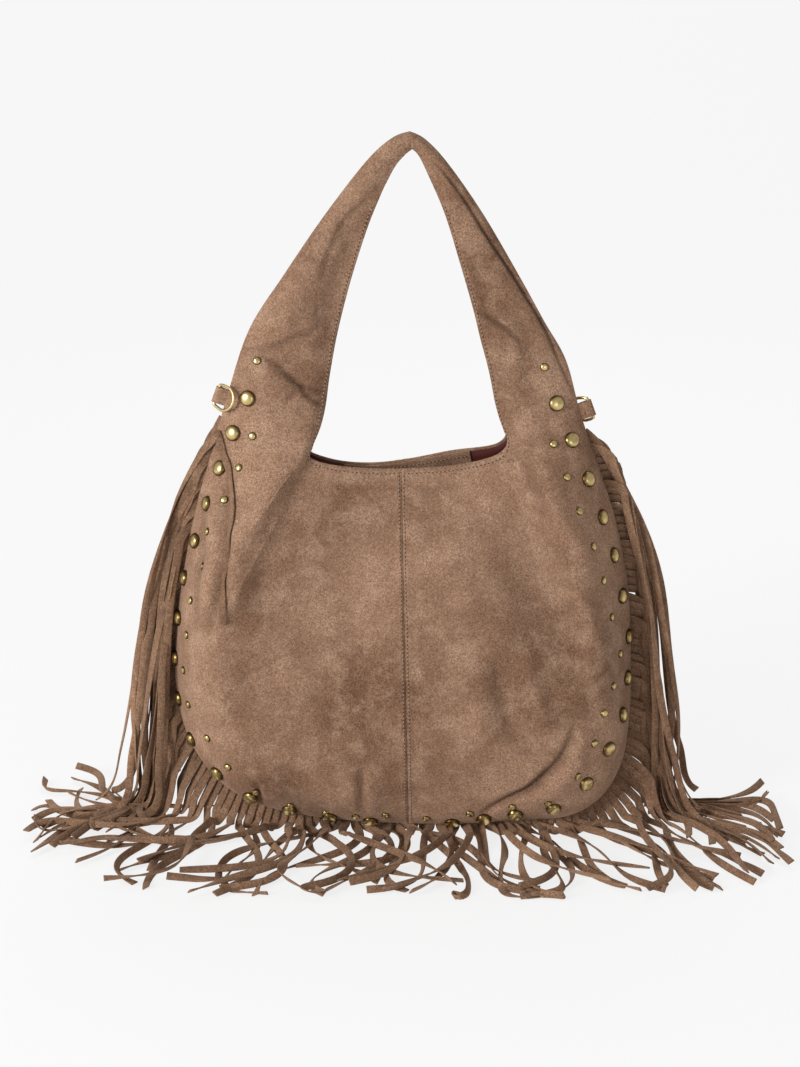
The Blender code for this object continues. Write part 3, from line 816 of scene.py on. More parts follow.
class Repeats:
    """Geometry Nodes that set a shape along a path or on points, and turn the result into a plain mesh."""

    @staticmethod
    def start(name: str, number: str) -> tuple[bpy.types.NodeTree, object]:
        """Make a tree whose inputs are geometry, a shape, one number and a finish."""
        tree = bpy.data.node_groups.new(name, "GeometryNodeTree")
        inputs = {"Geometry": "Geometry", "Shape": "Object", number: "Float", "Finish": "Material"}
        for socket, kind in inputs.items():
            tree.interface.new_socket(socket, in_out="INPUT", socket_type=f"NodeSocket{kind}")
        tree.interface.new_socket("Geometry", in_out="OUTPUT", socket_type="NodeSocketGeometry")
        return tree, tree.nodes.new("NodeGroupInput").outputs

    @staticmethod
    def place(tree: bpy.types.NodeTree, given: object, axis: str, vector: object, links: dict) -> None:
        """Set the shape on the points, with its axis along a vector, and give it the finish."""
        turn = add_node(tree, "FunctionNodeAlignRotationToVector", {"axis": axis}, {"Vector": vector})
        shape = add_node(tree, "GeometryNodeObjectInfo", links={"Object": given["Shape"]})
        placed = add_node(
            tree, "GeometryNodeInstanceOnPoints",
            links={"Instance": shape.outputs["Geometry"], "Rotation": turn.outputs[0], **links},
        )
        real = add_node(tree, "GeometryNodeRealizeInstances", links={"Geometry": placed.outputs[0]})
        done = add_node(
            tree, "GeometryNodeSetMaterial", links={"Geometry": real.outputs[0], "Material": given["Finish"]},
        )
        add_node(tree, "NodeGroupOutput", links={0: done.outputs[0]})

    @staticmethod
    def along_path() -> bpy.types.NodeTree:
        """Tree that sets a shape every so many millimetres along a path of edges."""
        tree, given = Repeats.start("shape_along_path", "Pitch")
        curve = add_node(tree, "GeometryNodeMeshToCurve", links={"Mesh": given["Geometry"]})
        spaced = add_node(
            tree, "GeometryNodeResampleCurve", {"mode": "LENGTH"},
            {"Curve": curve.outputs[0], "Length": given["Pitch"]},
        )
        points = add_node(
            tree, "GeometryNodeCurveToPoints", {"mode": "EVALUATED"}, {"Curve": spaced.outputs[0]},
        )
        Repeats.place(tree, given, "X", points.outputs["Tangent"], {"Points": points.outputs[0]})
        return tree

    @staticmethod
    def on_points() -> bpy.types.NodeTree:
        """Tree that sets a shape on every point, standing along the point's "facing" vector."""
        tree, given = Repeats.start("shape_on_points", "Scale")
        facing = add_node(
            tree, "GeometryNodeInputNamedAttribute", {"data_type": "FLOAT_VECTOR", "Name": "facing"},
        )
        links = {"Points": given["Geometry"], "Scale": given["Scale"]}
        Repeats.place(tree, given, "Z", facing.outputs[0], links)
        return tree

    @staticmethod
    def run(obj: bpy.types.Object, tree: bpy.types.NodeTree, inputs: dict[str, object]) -> bpy.types.Object:
        """Run a tree on an object and keep the result as a plain mesh.

        Args:
            obj: the object that holds the path or the points.
            tree: the tree.
            inputs: value of each named input.

        Returns:
            The same object, with the finished mesh.
        """
        modifier = obj.modifiers.new(tree.name, "NODES")
        modifier.node_group = tree
        for item in tree.interface.items_tree:
            if item.in_out == "INPUT" and item.name in inputs:
                modifier[item.identifier] = inputs[item.name]
        bake(obj)
        obj.data.shade_smooth()
        return obj


def closest(tree: BVHTree, point: np.ndarray) -> tuple[np.ndarray, np.ndarray]:
    """Nearest point of a surface and its normal."""
    place, normal, _, _ = tree.find_nearest(Vector(point))
    return np.array(place), np.array(normal)


@dataclass
class Stitching:
    """Topstitching: rows of raised thread stitches, each sunk a little at its ends."""

    shape: BagShape
    finishes: Finishes
    trees: dict
    pitch: float = 3.1
    thread_size: tuple[float, float, float] = (1.15, 0.42, 0.42)
    # size of the dark beads of painted needle-hole shade
    hole_size: tuple[float, float, float] = (0.9, 0.55, 0.3)
    lift: float = 0.12              # how far the middle of a stitch stands off the suede
    seam_inset: float = 2.1         # from the centre seam to the row on each side of it
    rim_inset: float = 4.0
    strap_inset: float = 2.6
    facing_depth: float = 4.55      # from the back panel's outer face to the facing's inner face
    facing_rows_at: tuple[float, float] = (4.0, 12.5)
    facing_row_ends: tuple[float, float] = (2.45, 2.65)
    corner_section: float = 5.5     # where the rim turns up into the strap
    strap_sections: tuple[float, float] = (14.2, 15.2)

    def bead(self, name: str, size: tuple[float, float, float]) -> bpy.types.Object:
        """A small bead with the given half lengths, lying along X."""
        bm = bmesh.new()
        bmesh.ops.create_uvsphere(bm, u_segments=8, v_segments=6, radius=MM)
        bmesh.ops.scale(bm, verts=bm.verts, vec=size)
        mesh = bpy.data.meshes.new(name)
        bm.to_mesh(mesh)
        bm.free()
        return link(bpy.data.objects.new(name, mesh))

    def row(self, side: Side, face: Face, u: np.ndarray, v: np.ndarray, shift: float = 0.0) -> np.ndarray:
        """Path on a panel's folded surface, moved sideways by `shift` millimetres in x."""
        plain = self.shape.surface(side, face, u, v)
        plain[..., 0] += shift
        path = []
        for point in plain:
            place, normal = closest(self.trees[side, face], point)
            path.append(place + normal * self.lift)
        return np.array(path)

    def paths(self) -> list[np.ndarray]:
        """Every visible row of stitches on the outside."""
        rows = []
        for face in Face:
            for side in Side:
                v = np.linspace(0.03, 0.985, 120)
                rows.append(self.row(side, face, np.zeros_like(v), v, side.value * self.seam_inset))
            rim = 1.0 - self.rim_inset / self.shape.panel_span
            for side, end in zip(Side, self.strap_sections):
                corner = self.shape.at_section(side, self.corner_section)
                u = np.linspace(0.004, corner, 90)
                rows.append(self.row(side, face, u, np.full_like(u, rim)))
                u = np.linspace(corner + 0.012, self.shape.at_section(side, end), 160)
                free_edge = self.shape.surface(side, face, u, np.ones_like(u))
                sewn_edge = self.shape.surface(side, face, u, np.zeros_like(u))
                reach = np.linalg.norm(free_edge - sewn_edge, axis=1)
                rows.append(self.row(side, face, u, 1.0 - self.strap_inset / reach))
        return rows

    def facing_rows(self) -> list[np.ndarray]:
        """Two rows along the back facing's inner face, at its top and its bottom edge."""
        rows = []
        for drop in self.facing_rows_at:
            parts = []
            v_range = (1.0 - drop / self.shape.panel_span, 0.995)
            for side, end in zip(Side, self.facing_row_ends):
                u_range = (0.004, self.shape.at_section(side, end))
                points, _, _ = self.shape.grid(side, Face.BACK, 60, 5, u_range, v_range)
                inside = points - self.shape.normals(side, Face.BACK, points) * self.facing_depth
                parts.append(inside[:, 0])
            rows.append(np.concatenate([parts[0][::-1], parts[1]]))
        return rows

    def sew(
        self, name: str, rows: list[np.ndarray], shape: bpy.types.Object, finish: bpy.types.Material,
    ) -> None:
        """Set a bead every pitch along the rows."""
        vertices, edges = [], []
        for path in rows:
            start = len(vertices)
            vertices += path.tolist()
            edges += [(start + i, start + i + 1) for i in range(len(path) - 1)]
        mesh = bpy.data.meshes.new(name)
        mesh.from_pydata((np.array(vertices) * MM).tolist(), edges, [])
        obj = link(bpy.data.objects.new(name, mesh))
        Repeats.run(obj, Repeats.along_path(), {"Shape": shape, "Pitch": self.pitch * MM, "Finish": finish})
        bpy.data.objects.remove(shape)
        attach(obj, BODY)
        LOG.info("%s: %d faces", name, len(obj.data.polygons))

    def build(self) -> None:
        """Sew the rows: thread, and between the stitches dark beads of painted shade for the needle holes."""
        rows = self.paths() + self.facing_rows()
        self.sew("topstitching_thread", rows, self.bead("one_stitch", self.thread_size), self.finishes.thread)
        between = []
        for row in rows:
            walked = lengths_along(row)
            at = np.linspace(self.pitch / 2, walked[-1] - self.pitch / 2, len(row))
            between.append(np.stack([np.interp(at, walked, row[:, axis]) for axis in range(3)], axis=1))
        self.sew("topstitching_holes", between, self.bead("one_hole", self.hole_size), self.finishes.hole)


@dataclass
class Studs:
    """Domed studs: the large row that follows the seam, and the small row inside it."""

    shape: BagShape
    finishes: Finishes
    trees: dict
    per_side: int = 15
    large_radius: float = 6.3
    small_radius: float = 3.15
    small_rows: tuple = (
        (Side.LEFT, (
            (1, -30, 17), (2, 40, 36), (5, 122, 38), (6, 152, 42), (8, 207, 37), (10, 262, 33),
            (11, 296, 39), (12, 325, 33), (13, 356, 23), (15, 414, 15), (17, 462, 20),
        )),
        (Side.RIGHT, (
            (1, -31, 23), (2, 54, 54), (3, 86, 61), (4, 116, 66), (5, 142, 64), (6, 164, 56), (7, 187, 43),
            (8, 212, 33), (9, 250, 54), (10, 285, 69), (11, 313, 65), (12, 340, 53), (13, 367, 36),
            (14, 397, 26), (16, 467, 16),
        )),
    )

    def dome(self) -> bpy.types.Object:
        """One stud of radius 1 mm, standing along Z, with its rim marked for painted shade that stands in for
        the dark reflections along a dome's edge.
        """
        profile = [(0.0, -0.30), (0.88, -0.30), (0.985, -0.10), (1.0, 0.02), (0.97, 0.10)]
        arch = np.linspace(0.12, math.pi / 2, 9)
        profile += [(0.93 * math.cos(a), 0.10 + 0.44 * math.sin(a)) for a in arch]
        bm = bmesh.new()
        corners = [bm.verts.new((r * MM, 0.0, z * MM)) for r, z in profile]
        edges = [bm.edges.new(pair) for pair in zip(corners, corners[1:])]
        bmesh.ops.spin(
            bm, geom=corners + edges, cent=(0, 0, 0), axis=(0, 0, 1),
            angle=2 * math.pi, steps=28, use_merge=True,
        )
        bmesh.ops.remove_doubles(bm, verts=bm.verts, dist=1e-7)
        bmesh.ops.recalc_face_normals(bm, faces=bm.faces)
        mesh = bpy.data.meshes.new("one_stud")
        bm.to_mesh(mesh)
        bm.free()
        reach = np.array([math.hypot(v.co.x, v.co.y) / MM for v in mesh.vertices])
        # painted shade towards the dome's edge, in place of the dark reflections there
        set_attribute(mesh, "rim", smooth((reach - 0.58) / 0.42) * 0.85)
        return link(bpy.data.objects.new("one_stud", mesh))

    def seam_walk(self, side: Side) -> tuple[np.ndarray, np.ndarray]:
        """Steps of u down the sewn edge, and how far below the ring tab each lies."""
        u = np.linspace(0.0, 0.8, 2400)
        edge = self.shape.surface(side, Face.FRONT, u, np.zeros_like(u))
        walked = lengths_along(edge)
        middle = node_middle(f"tab_{side.word}")
        at_tab = int(np.argmin(np.hypot(edge[:, 0] - middle[0], edge[:, 2] - middle[2])))
        return u, walked[at_tab] - walked

    def on_front(self, side: Side, distance: float, inset: float) -> np.ndarray:
        """Point `distance` down the seam from the tab and `inset` in from the seam."""
        u_steps, walked = self.seam_walk(side)
        u = float(np.interp(distance, walked[::-1], u_steps[::-1]))
        v = np.linspace(0.0, 0.5, 900)
        section = self.shape.surface(side, Face.FRONT, np.full_like(v, u), v)
        at = float(np.interp(inset, lengths_along(section), v))
        return self.shape.surface(side, Face.FRONT, np.array([u]), np.array([at]))[0]

    def plant(
        self, name: str, places: list[tuple[Side, np.ndarray]], radius: float, dome: bpy.types.Object,
    ) -> bpy.types.Object:
        """Set a stud on the front panel at each place."""
        points, facing = [], []
        for side, place in places:
            spot, normal = closest(self.trees[side, Face.FRONT], place)
            points.append(spot + normal * 0.12 * radius)
            facing.append(normal)
        mesh = bpy.data.meshes.new(name)
        mesh.from_pydata((np.array(points) * MM).tolist(), [], [])
        layer = mesh.attributes.new("facing", "FLOAT_VECTOR", "POINT")
        layer.data.foreach_set("vector", np.array(facing, np.float32).ravel())
        obj = link(bpy.data.objects.new(name, mesh))
        Repeats.run(obj, Repeats.on_points(), {"Shape": dome, "Scale": radius, "Finish": self.finishes.brass})
        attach(obj, BODY)
        LOG.info("%s: %d studs", name, len(points))
        return obj

    def build(self) -> None:
        """Make both rows."""
        dome = self.dome()
        large, nodes = [], []
        for side in Side:
            for number in range(1, self.per_side + 1):
                node = f"stud_{side.word}_{number:02d}"
                large.append((side, node_middle(node)))
                nodes.append(node)
        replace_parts(self.plant("large_studs", large, self.large_radius, dome), *nodes)
        small = []
        for side, stations in self.small_rows:
            at_number, at_distance, at_inset = zip(*stations)
            for number in range(1, at_number[-1] + 1):
                distance = float(np.interp(number, at_number, at_distance))
                inset = float(np.interp(number, at_number, at_inset))
                small.append((side, self.on_front(side, distance, inset)))
        self.plant("small_studs", small, self.small_radius, dome)
        bpy.data.objects.remove(dome)


@dataclass
class RingTabs:
    """The two D-rings and the suede tabs that hold them."""

    finishes: Finishes
    tilt: float = math.radians(20.0)
    width: float = 12.5
    root: float = 13.0
    wall: float = 1.1
    wire: float = 1.3
    bow: float = 9.4
    leg: float = 7.4
    half_bar: float = 8.0
    rest: float = math.radians(38.0)
    bars: tuple = ((Side.LEFT, (-143.2, 0.0, 345.5)), (Side.RIGHT, (143.2, 0.0, 335.0)))

    def axes(self, side: Side) -> tuple[np.ndarray, np.ndarray]:
        """Direction of a ring's bar, and the direction out of the seam, square to it."""
        out = np.array([side.value * math.cos(self.tilt), 0.0, math.sin(self.tilt)])
        up = np.array([-side.value * math.sin(self.tilt), 0.0, math.cos(self.tilt)])
        return up, out

    def tab(self, side: Side, bar: np.ndarray) -> None:
        """Strip of suede folded round the ring's bar, its two ends tucked into the seam."""
        node = f"tab_{side.word}"
        up, out = self.axes(side)
        bend = self.wire + 0.25 + self.wall / 2
        path = [(-self.root, -0.75), (-self.root * 0.7, -0.8), (-self.root * 0.35, -1.35), (-1.2, -bend)]
        path += [(bend * math.cos(a), bend * math.sin(a)) for a in np.linspace(-math.pi / 2, math.pi / 2, 13)]
        path += [(-1.2, bend), (-self.root * 0.35, 1.35), (-self.root * 0.7, 0.8), (-self.root, 0.75)]
        line = curve_through(path, np.linspace(0.0, 1.0, 70))
        across = np.linspace(-self.width / 2, self.width / 2, 15)
        points = []
        for reach, depth in line:
            for edge in across:
                bow = 0.18 * math.cos(edge / self.width * math.pi) * math.copysign(1.0, depth)
                points.append(bar + out * reach + up * edge + np.array([0.0, depth + bow, 0.0]))
        obj = mesh_object(f"suede_{node}", points, grid_faces(len(line), len(across)), self.finishes.suede)
        add_wall(obj, self.wall, 0.0)
        bake(obj)
        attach(obj, BODY)
        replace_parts(obj, node)

    def ring(self, side: Side, bar: np.ndarray) -> None:
        """D-ring of round wire, resting on the front of the bag at the left and on its back at the right."""
        node = f"d_ring_{side.word}"
        up, out = self.axes(side)
        reach = -out * math.cos(self.rest) + np.array([0.0, side.value * math.sin(self.rest), 0.0])
        outline = [(t, 0.0) for t in np.linspace(-self.half_bar, self.half_bar, 9)]
        outline.append((self.half_bar + 0.6 * (self.bow - self.half_bar), self.leg * 0.35))
        outline += [
            (self.bow * math.cos(a), self.leg + self.bow * math.sin(a)) for a in np.linspace(0.0, math.pi, 40)
        ]
        outline.append((-self.half_bar - 0.6 * (self.bow - self.half_bar), self.leg * 0.35))
        wire = bpy.data.curves.new(node, "CURVE")
        wire.dimensions = "3D"
        wire.bevel_depth = self.wire * MM
        wire.bevel_resolution = 6
        spline = wire.splines.new("POLY")
        spline.points.add(len(outline) - 1)
        spline.use_cyclic_u = True
        for point, (along, away) in zip(spline.points, outline):
            point.co = (*((bar + up * along + reach * away) * MM), 1.0)
        source = link(bpy.data.objects.new(f"{node}_wire", wire))
        mesh = bpy.data.meshes.new_from_object(source.evaluated_get(bpy.context.evaluated_depsgraph_get()))
        bpy.data.objects.remove(source)
        mesh.materials.append(self.finishes.gold)
        mesh.shade_smooth()
        obj = link(bpy.data.objects.new(f"steel_{node}", mesh))
        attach(obj, f"ring_{side.word}")
        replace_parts(obj, node)

    def build(self) -> None:
        """Make the tabs and the rings."""
        for side, bar in self.bars:
            self.tab(side, np.array(bar))
            self.ring(side, np.array(bar))
        LOG.info("rings and tabs made")


@dataclass
class Strands:
    """Where each strand of the fringe starts, how long it is and which way it wants to go.

    `side` is -1 or 1, `out` points away from the bag in the seam's plane, `along` runs along the
    seam, `low` is 1 on the bottom seam and 0 up the sides. `heading`, `turn` and `curl` say which way a
    strand runs over the floor and how much it winds. `pressed` holds, for each point of a strand that
    lies flat on a panel, the panel's normal there, and zeros for the rest.
    """

    root: np.ndarray
    out: np.ndarray
    along: np.ndarray
    side: np.ndarray
    low: np.ndarray
    length: np.ndarray
    heading: np.ndarray
    turn: np.ndarray
    curl: np.ndarray
    layer: np.ndarray
    stack: np.ndarray
    tone: np.ndarray
    twist: np.ndarray
    pressed: np.ndarray

    def part(self, mask: np.ndarray) -> Strands:
        """The strands that a mask picks."""
        return Strands(**{name: getattr(self, name)[mask] for name in self.__dataclass_fields__})


def root_top(strands: Strands) -> np.ndarray:
    """Height of the highest root on each strand's own side."""
    left, right = (strands.root[strands.side == side.value, 2].max() for side in Side)
    return np.where(strands.side < 0, left, right)


@dataclass
class Fringe:
    """Suede strands cut from one long band that is sewn into the seam from tab to tab.

    Each strand is a chain of points. It starts as a guess at how it hangs, and is then relaxed
    under its weight over the bag, its neighbours and the floor.
    """

    shape: BagShape
    finishes: Finishes
    trees: dict
    pitch: float = 6.3
    width: float = 5.8
    thick: float = 1.2
    chain: int = 32
    steps: int = 150
    rounds: int = 10
    gravity: float = 0.5
    side_length: float = 284.0
    base_length: float = 158.0
    clump: int = 5
    reach_side: float = 298.0
    reach_front: float = 168.0
    reach_back: float = 88.0
    bottom_seam_z: float = 45.0
    tab_room: float = 13.0
    front_strand: int = 2
    front_path: tuple = (
        (-145, 322), (-139, 302), (-133, 287), (-130, 262), (-134, 234), (-137, 205), (-138, 180),
    )
    seed: int = 11

    def seam(self, side: Side) -> tuple[np.ndarray, np.ndarray, float]:
        """The sewn edge as fine points, the distance along it, and its length up to the tab."""
        u = np.linspace(0.0, 0.8, 4000)
        edge = self.shape.surface(side, Face.FRONT, u, np.zeros_like(u)) + [0.0, self.shape.ply_offset, 0.0]
        middle = node_middle(f"tab_{side.word}")
        at_tab = int(np.argmin(np.hypot(edge[:, 0] - middle[0], edge[:, 2] - middle[2])))
        walked = lengths_along(edge)
        return edge, walked, float(walked[at_tab]) - self.tab_room

    def plan(self) -> Strands:
        """Place the roots along the seam and settle each strand's length and heading."""
        rng = np.random.default_rng(self.seed)
        roots, outs, alongs, sides = [], [], [], []
        for side in Side:
            edge, walked, total = self.seam(side)
            for number in range(int(total / self.pitch)):
                i = int(np.searchsorted(walked, total - (number + 0.5) * self.pitch))
                tangent = unit(edge[i + 6] - edge[max(i - 6, 0)])
                out = unit(np.cross([0.0, 1.0, 0.0], tangent)) * side.value
                roots.append(edge[i] - out * 1.6)
                outs.append(out)
                alongs.append(tangent)
                sides.append(float(side.value))
        root = np.array(roots)
        n = len(root)
        low = smooth((80.0 - root[:, 2]) / 70.0)
        rise = np.clip((root[:, 2] - 8.0) / 290.0, 0.0, 1.0) ** 0.75
        length = self.base_length + (self.side_length - self.base_length) * rise
        side = np.array(sides)
        across = root[:, 0] / 170.0
        forward = np.arctan2(-1.0, 0.75 * across) + rng.normal(0.0, 0.42, n) * np.where(side > 0, 0.6, 1.0)
        outward = np.where(side > 0, -0.7, 0.55 - math.pi) + rng.normal(0.0, 0.35, n)
        return Strands(
            root=root, out=np.array(outs), along=np.array(alongs), side=side, low=low,
            length=length * (1.0 + np.clip(rng.normal(0.0, 0.06, n), -0.13, 0.12)),
            heading=forward * low + outward * (1.0 - low),
            turn=rng.normal(0.0, 1.0, n),
            curl=np.where(side > 0, 0.45, 1.0),
            layer=rng.permutation(n) % 8,
            stack=rng.uniform(0.15, 1.0, n),
            tone=rng.uniform(0.84, 1.12, n),
            twist=rng.normal(0.0, 1.0, n),
            pressed=np.zeros((n, self.chain, 3)),
        )

    def guess(self, strands: Strands) -> np.ndarray:
        """First shape of every strand: out of the seam, down, and away over the floor."""
        n = len(strands.root)
        step = strands.length / (self.chain - 1)
        points = np.zeros((n, self.chain, 3))
        points[:, 0] = strands.root
        floor = 0.9 + strands.layer * 1.1 * (0.5 + 0.5 * (1 - strands.low))
        lift = strands.low * 0.75
        corner = (2.0 * strands.out[:, 0] * strands.out[:, 2]) ** 2 * (strands.root[:, 2] < 120.0)
        below_tab = root_top(strands) - strands.root[:, 2]
        falling = np.where(strands.side < 0, 0.7 + 0.6 * strands.stack, 0.1 + 0.3 * strands.stack)
        falling = falling * (1.0 - strands.low) + 0.15 * strands.low + 0.7 * np.exp(-below_tab / 9.0)
        for k in range(1, self.chain):
            last = points[:, k - 1]
            gone = k * step
            stiff = np.exp(-(gone / (15.0 + 12.0 * strands.stack + 26.0 * corner)) ** 2)[:, None]
            aside = strands.side * (0.12 + 0.14 * strands.stack) * (1.0 - strands.low)
            hang = np.stack([
                aside + np.cos(strands.heading) * lift,
                0.05 * strands.turn * (1.0 - strands.low) + np.sin(strands.heading) * lift,
                -np.ones(n),
            ], axis=1)
            droop = strands.out - [0.0, 0.0, 1.0] * falling[:, None]
            droop = droop + [0.0, 1.0, 0.0] * (0.22 * strands.turn * (1.0 - strands.low))[:, None]
            head = unit(unit(droop) * stiff * 1.8 + unit(hang) * (1.0 - stiff))
            new = last + head * step[:, None]
            sway = strands.turn * 0.005 * gone + 0.65 * np.sin(gone / 30.0 + strands.twist * 2.5)
            bend = strands.heading + strands.curl * sway
            run = np.stack([np.cos(bend), np.sin(bend), np.zeros(n)], axis=1)
            room_x = smooth((self.reach_side - np.abs(last[:, 0])) / 50.0)
            room_front = smooth((last[:, 1] + self.reach_front) / 50.0)
            room_back = smooth((self.reach_back - last[:, 1]) / 50.0)
            run[:, 0] *= np.where(run[:, 0] * last[:, 0] > 0.0, room_x, 1.0)
            run[:, 1] *= np.where(run[:, 1] < 0.0, room_front, room_back)
            run = unit(run + 0.05 * np.stack([np.sin(bend), -np.cos(bend), np.zeros(n)], axis=1))
            lying = last + run * step[:, None]
            lying[:, 2] = floor
            points[:, k] = np.where((new[:, 2] < floor)[:, None], lying, new)
        return points

    def relax(self, strands: Strands, points: np.ndarray) -> np.ndarray:
        """Let the strands settle: weight, fixed lengths, stiffness, floor, bag and neighbours."""
        rest = (strands.length / (self.chain - 1))[:, None, None]
        floor = (0.9 + strands.layer * 1.1)[:, None]
        previous = points.copy()
        start = points.copy()
        held = np.arange(self.chain) < np.where(strands.low > 0.1, 6, 3)[:, None]
        for step in range(self.steps):
            moved = points + (points - previous) * 0.88
            moved[:, 3:, 2] -= self.gravity
            previous, points = points, moved
            for _ in range(self.rounds):
                for first in (0, 1):
                    b = points[:, first + 1::2]
                    a = points[:, first:-1:2][:, : b.shape[1]]
                    gap = b - a
                    size = np.linalg.norm(gap, axis=2, keepdims=True)
                    push = gap * (0.5 * (size - rest) / np.maximum(size, 1e-6))
                    a += push
                    b -= push
                middle = (points[:, :-2] + points[:, 2:]) / 2
                points[:, 1:-1] += (middle - points[:, 1:-1]) * 0.05
                points[held] = start[held]
            self.spread(strands, points)
            if step % 4 == 0 or step == self.steps - 1:
                self.keep_off_bag(points)
            on_floor = points[..., 2] < floor
            points[..., 2] = np.maximum(points[..., 2], floor)
            slide = np.where(on_floor[..., None], 0.1, 1.0)
            points[..., :2] = previous[..., :2] + (points[..., :2] - previous[..., :2]) * slide
            points[..., 0] = np.clip(points[..., 0], -self.reach_side, self.reach_side)
            points[..., 1] = np.clip(points[..., 1], -self.reach_front, self.reach_back)
            points[held] = start[held]
        return points

    def spread(self, strands: Strands, points: np.ndarray) -> None:
        """Keep side strands outside the ones rooted below them, so the curtain thickens downwards."""
        fall = np.maximum(strands.root[:, None, 2] - points[..., 2], 0.0)
        edge, _, _ = self.seam(Side.RIGHT)
        side_x = np.interp(points[..., 2], edge[::40, 2], edge[::40, 0])
        thicker = 5.0 * smooth(fall / 20.0) + fall * 0.13 * smooth(points[..., 2] / 40.0)
        least = side_x + 3.0 + thicker * strands.stack[:, None]
        reach = points[..., 0] * strands.side[:, None]
        beside = (points[..., 2] > 14.0) & (np.abs(points[..., 1]) < 40.0)
        short = (reach < least) & (strands.low[:, None] < 0.3) & beside
        points[..., 0] += np.where(short, (least - reach) * 0.5 * strands.side[:, None], 0.0)
        for shift in (1, 2, 3):
            a, b = points[:-shift], points[shift:]
            same = (strands.side[:-shift] == strands.side[shift:])[:, None, None]
            gap = b - a
            size = np.linalg.norm(gap, axis=2, keepdims=True)
            push = np.where(same & (size < 3.4), gap / np.maximum(size, 1e-6) * (3.4 - size) * 0.25, 0.0)
            push[:, :3] = 0.0
            points[:-shift] -= push
            points[shift:] += push

    def keep_off_bag(self, points: np.ndarray) -> None:
        """Push points that are in or close to the bag out of it."""
        clear, deepest = 2.0, 45.0
        flat = points[:, 2:].reshape(-1, 3)
        near = (np.abs(flat[:, 0]) < 190.0) & (np.abs(flat[:, 1]) < 75.0) & (flat[:, 2] < 350.0)
        for index in np.nonzero(near)[0]:
            point = Vector(flat[index])
            hits = (tree.find_nearest(point) for tree in self.trees.values())
            place, normal, _, gap = min(hits, key=lambda hit: hit[3])
            if (point - place).dot(normal) < clear and gap < deepest:
                flat[index] = np.array(place + normal * clear)
        points[:, 2:] = flat.reshape(points[:, 2:].shape)

    def gather(self, strands: Strands, points: np.ndarray) -> None:
        """Draw the hanging strands into loose clumps and let each waver on its way down."""
        rng = np.random.default_rng(self.seed + 1)
        n = len(points)
        group = np.arange(n) // self.clump
        sway = rng.normal(0.0, 1.0, (group.max() + 1, 3))[group]
        fall = np.maximum(strands.root[:, None, 2] - points[..., 2], 0.0)
        hanging = smooth((points[..., 2] - 12.0) / 40.0) * smooth((fall - 12.0) / 60.0)
        hanging = hanging * (1.0 - strands.low[:, None])
        gone = np.linspace(0.0, 1.0, self.chain) * strands.length[:, None]
        wave = np.sin(gone / (24.0 + 5.0 * sway[:, 1:2]) + strands.twist[:, None] * 3.0)
        points[..., 1] += hanging * (6.0 * sway[:, :1] + 3.2 * wave)
        outward = 4.0 * np.abs(sway[:, 2:]) + 1.8 * wave * strands.stack[:, None]
        points[..., 0] += hanging * strands.side[:, None] * outward

    def lay_in_front(self, strands: Strands, points: np.ndarray) -> None:
        """Hang one strand over the front of the left panel."""
        tree = self.trees[Side.LEFT, Face.FRONT]
        path, normals = [], []
        for x, z in curve_through(self.front_path, np.linspace(0.0, 1.0, 90)):
            place, normal, _, _ = tree.ray_cast(Vector((x, -200.0, z)), Vector((0.0, 1.0, 0.0)))
            if place is not None:
                path.append(np.array(place + normal * 1.4))
                normals.append(np.array(normal))
        line = np.array(path)
        walked = lengths_along(line)
        at = np.linspace(0.0, walked[-1], self.chain)
        points[self.front_strand] = self.spaced(line, walked, at)
        # painted shade: a darker tone lets the strand show against the panel as its shadow would
        strands.tone[self.front_strand] = 0.9
        strands.pressed[self.front_strand] = self.spaced(np.array(normals), walked, at)

    @staticmethod
    def spaced(rows: np.ndarray, walked: np.ndarray, at: np.ndarray) -> np.ndarray:
        """Rows of three numbers, read at even distances along a path."""
        return np.stack([np.interp(at, walked, rows[:, axis]) for axis in range(3)], axis=1)

    def ribbons(
        self, strands: Strands, points: np.ndarray,
    ) -> tuple[np.ndarray, list, np.ndarray, np.ndarray]:
        """Wrap a flat strip with rounded edges round every chain.

        Returns:
            Vertices, faces, and each vertex's tone and painted shade, darkest at the root.
        """
        fine = 3 * (self.chain - 1) + 1
        u = np.linspace(0.0, 1.0, fine)
        half_w, half_t = self.width / 2, self.thick / 2
        half_round = ((-1.0, -0.5), (-0.8, -1.0), (0.8, -1.0), (1.0, -0.5))
        ring = np.array(half_round + tuple((-a, -b) for a, b in half_round)) * (half_w, half_t)
        count = len(ring)
        vertices, faces, tones, painted_root_shade = [], [], [], []
        for s, chain in enumerate(points):
            line = curve_through(chain, u)
            tangent = unit(np.gradient(line, axis=0))
            pressed = curve_through(strands.pressed[s], u)
            lean = 0.32 + 0.05 * strands.twist[s]
            wide = strands.along[s] * math.cos(lean) + np.cross(tangent[0], strands.along[s]) * math.sin(lean)
            start = len(vertices)
            for k in range(fine):
                wide = unit(wide - tangent[k] * (wide @ tangent[k]))
                lying = np.cross([0.0, 0.0, 1.0], tangent[k])
                if np.linalg.norm(lying) > 0.3:
                    lying = unit(lying)
                    roll = math.sin(k / 14.0 + strands.twist[s] * 4.0)
                    rolled = lying * math.cos(roll) + np.cross(tangent[k], lying) * math.sin(roll)
                    rolled = rolled * math.copysign(1.0, rolled @ wide)
                    settle = float(smooth((20.0 - line[k, 2]) / 14.0)) * float(smooth(k / 12.0)) * 0.2
                    wide = unit(wide * (1.0 - settle) + rolled * settle)
                turn = strands.twist[s] * 0.02 * float(smooth((line[k, 2] - 14.0) / 30.0))
                wide = wide * math.cos(turn) + np.cross(tangent[k], wide) * math.sin(turn)
                if pressed[k] @ pressed[k] > 0.5:
                    wide = unit(np.cross(pressed[k], tangent[k]))
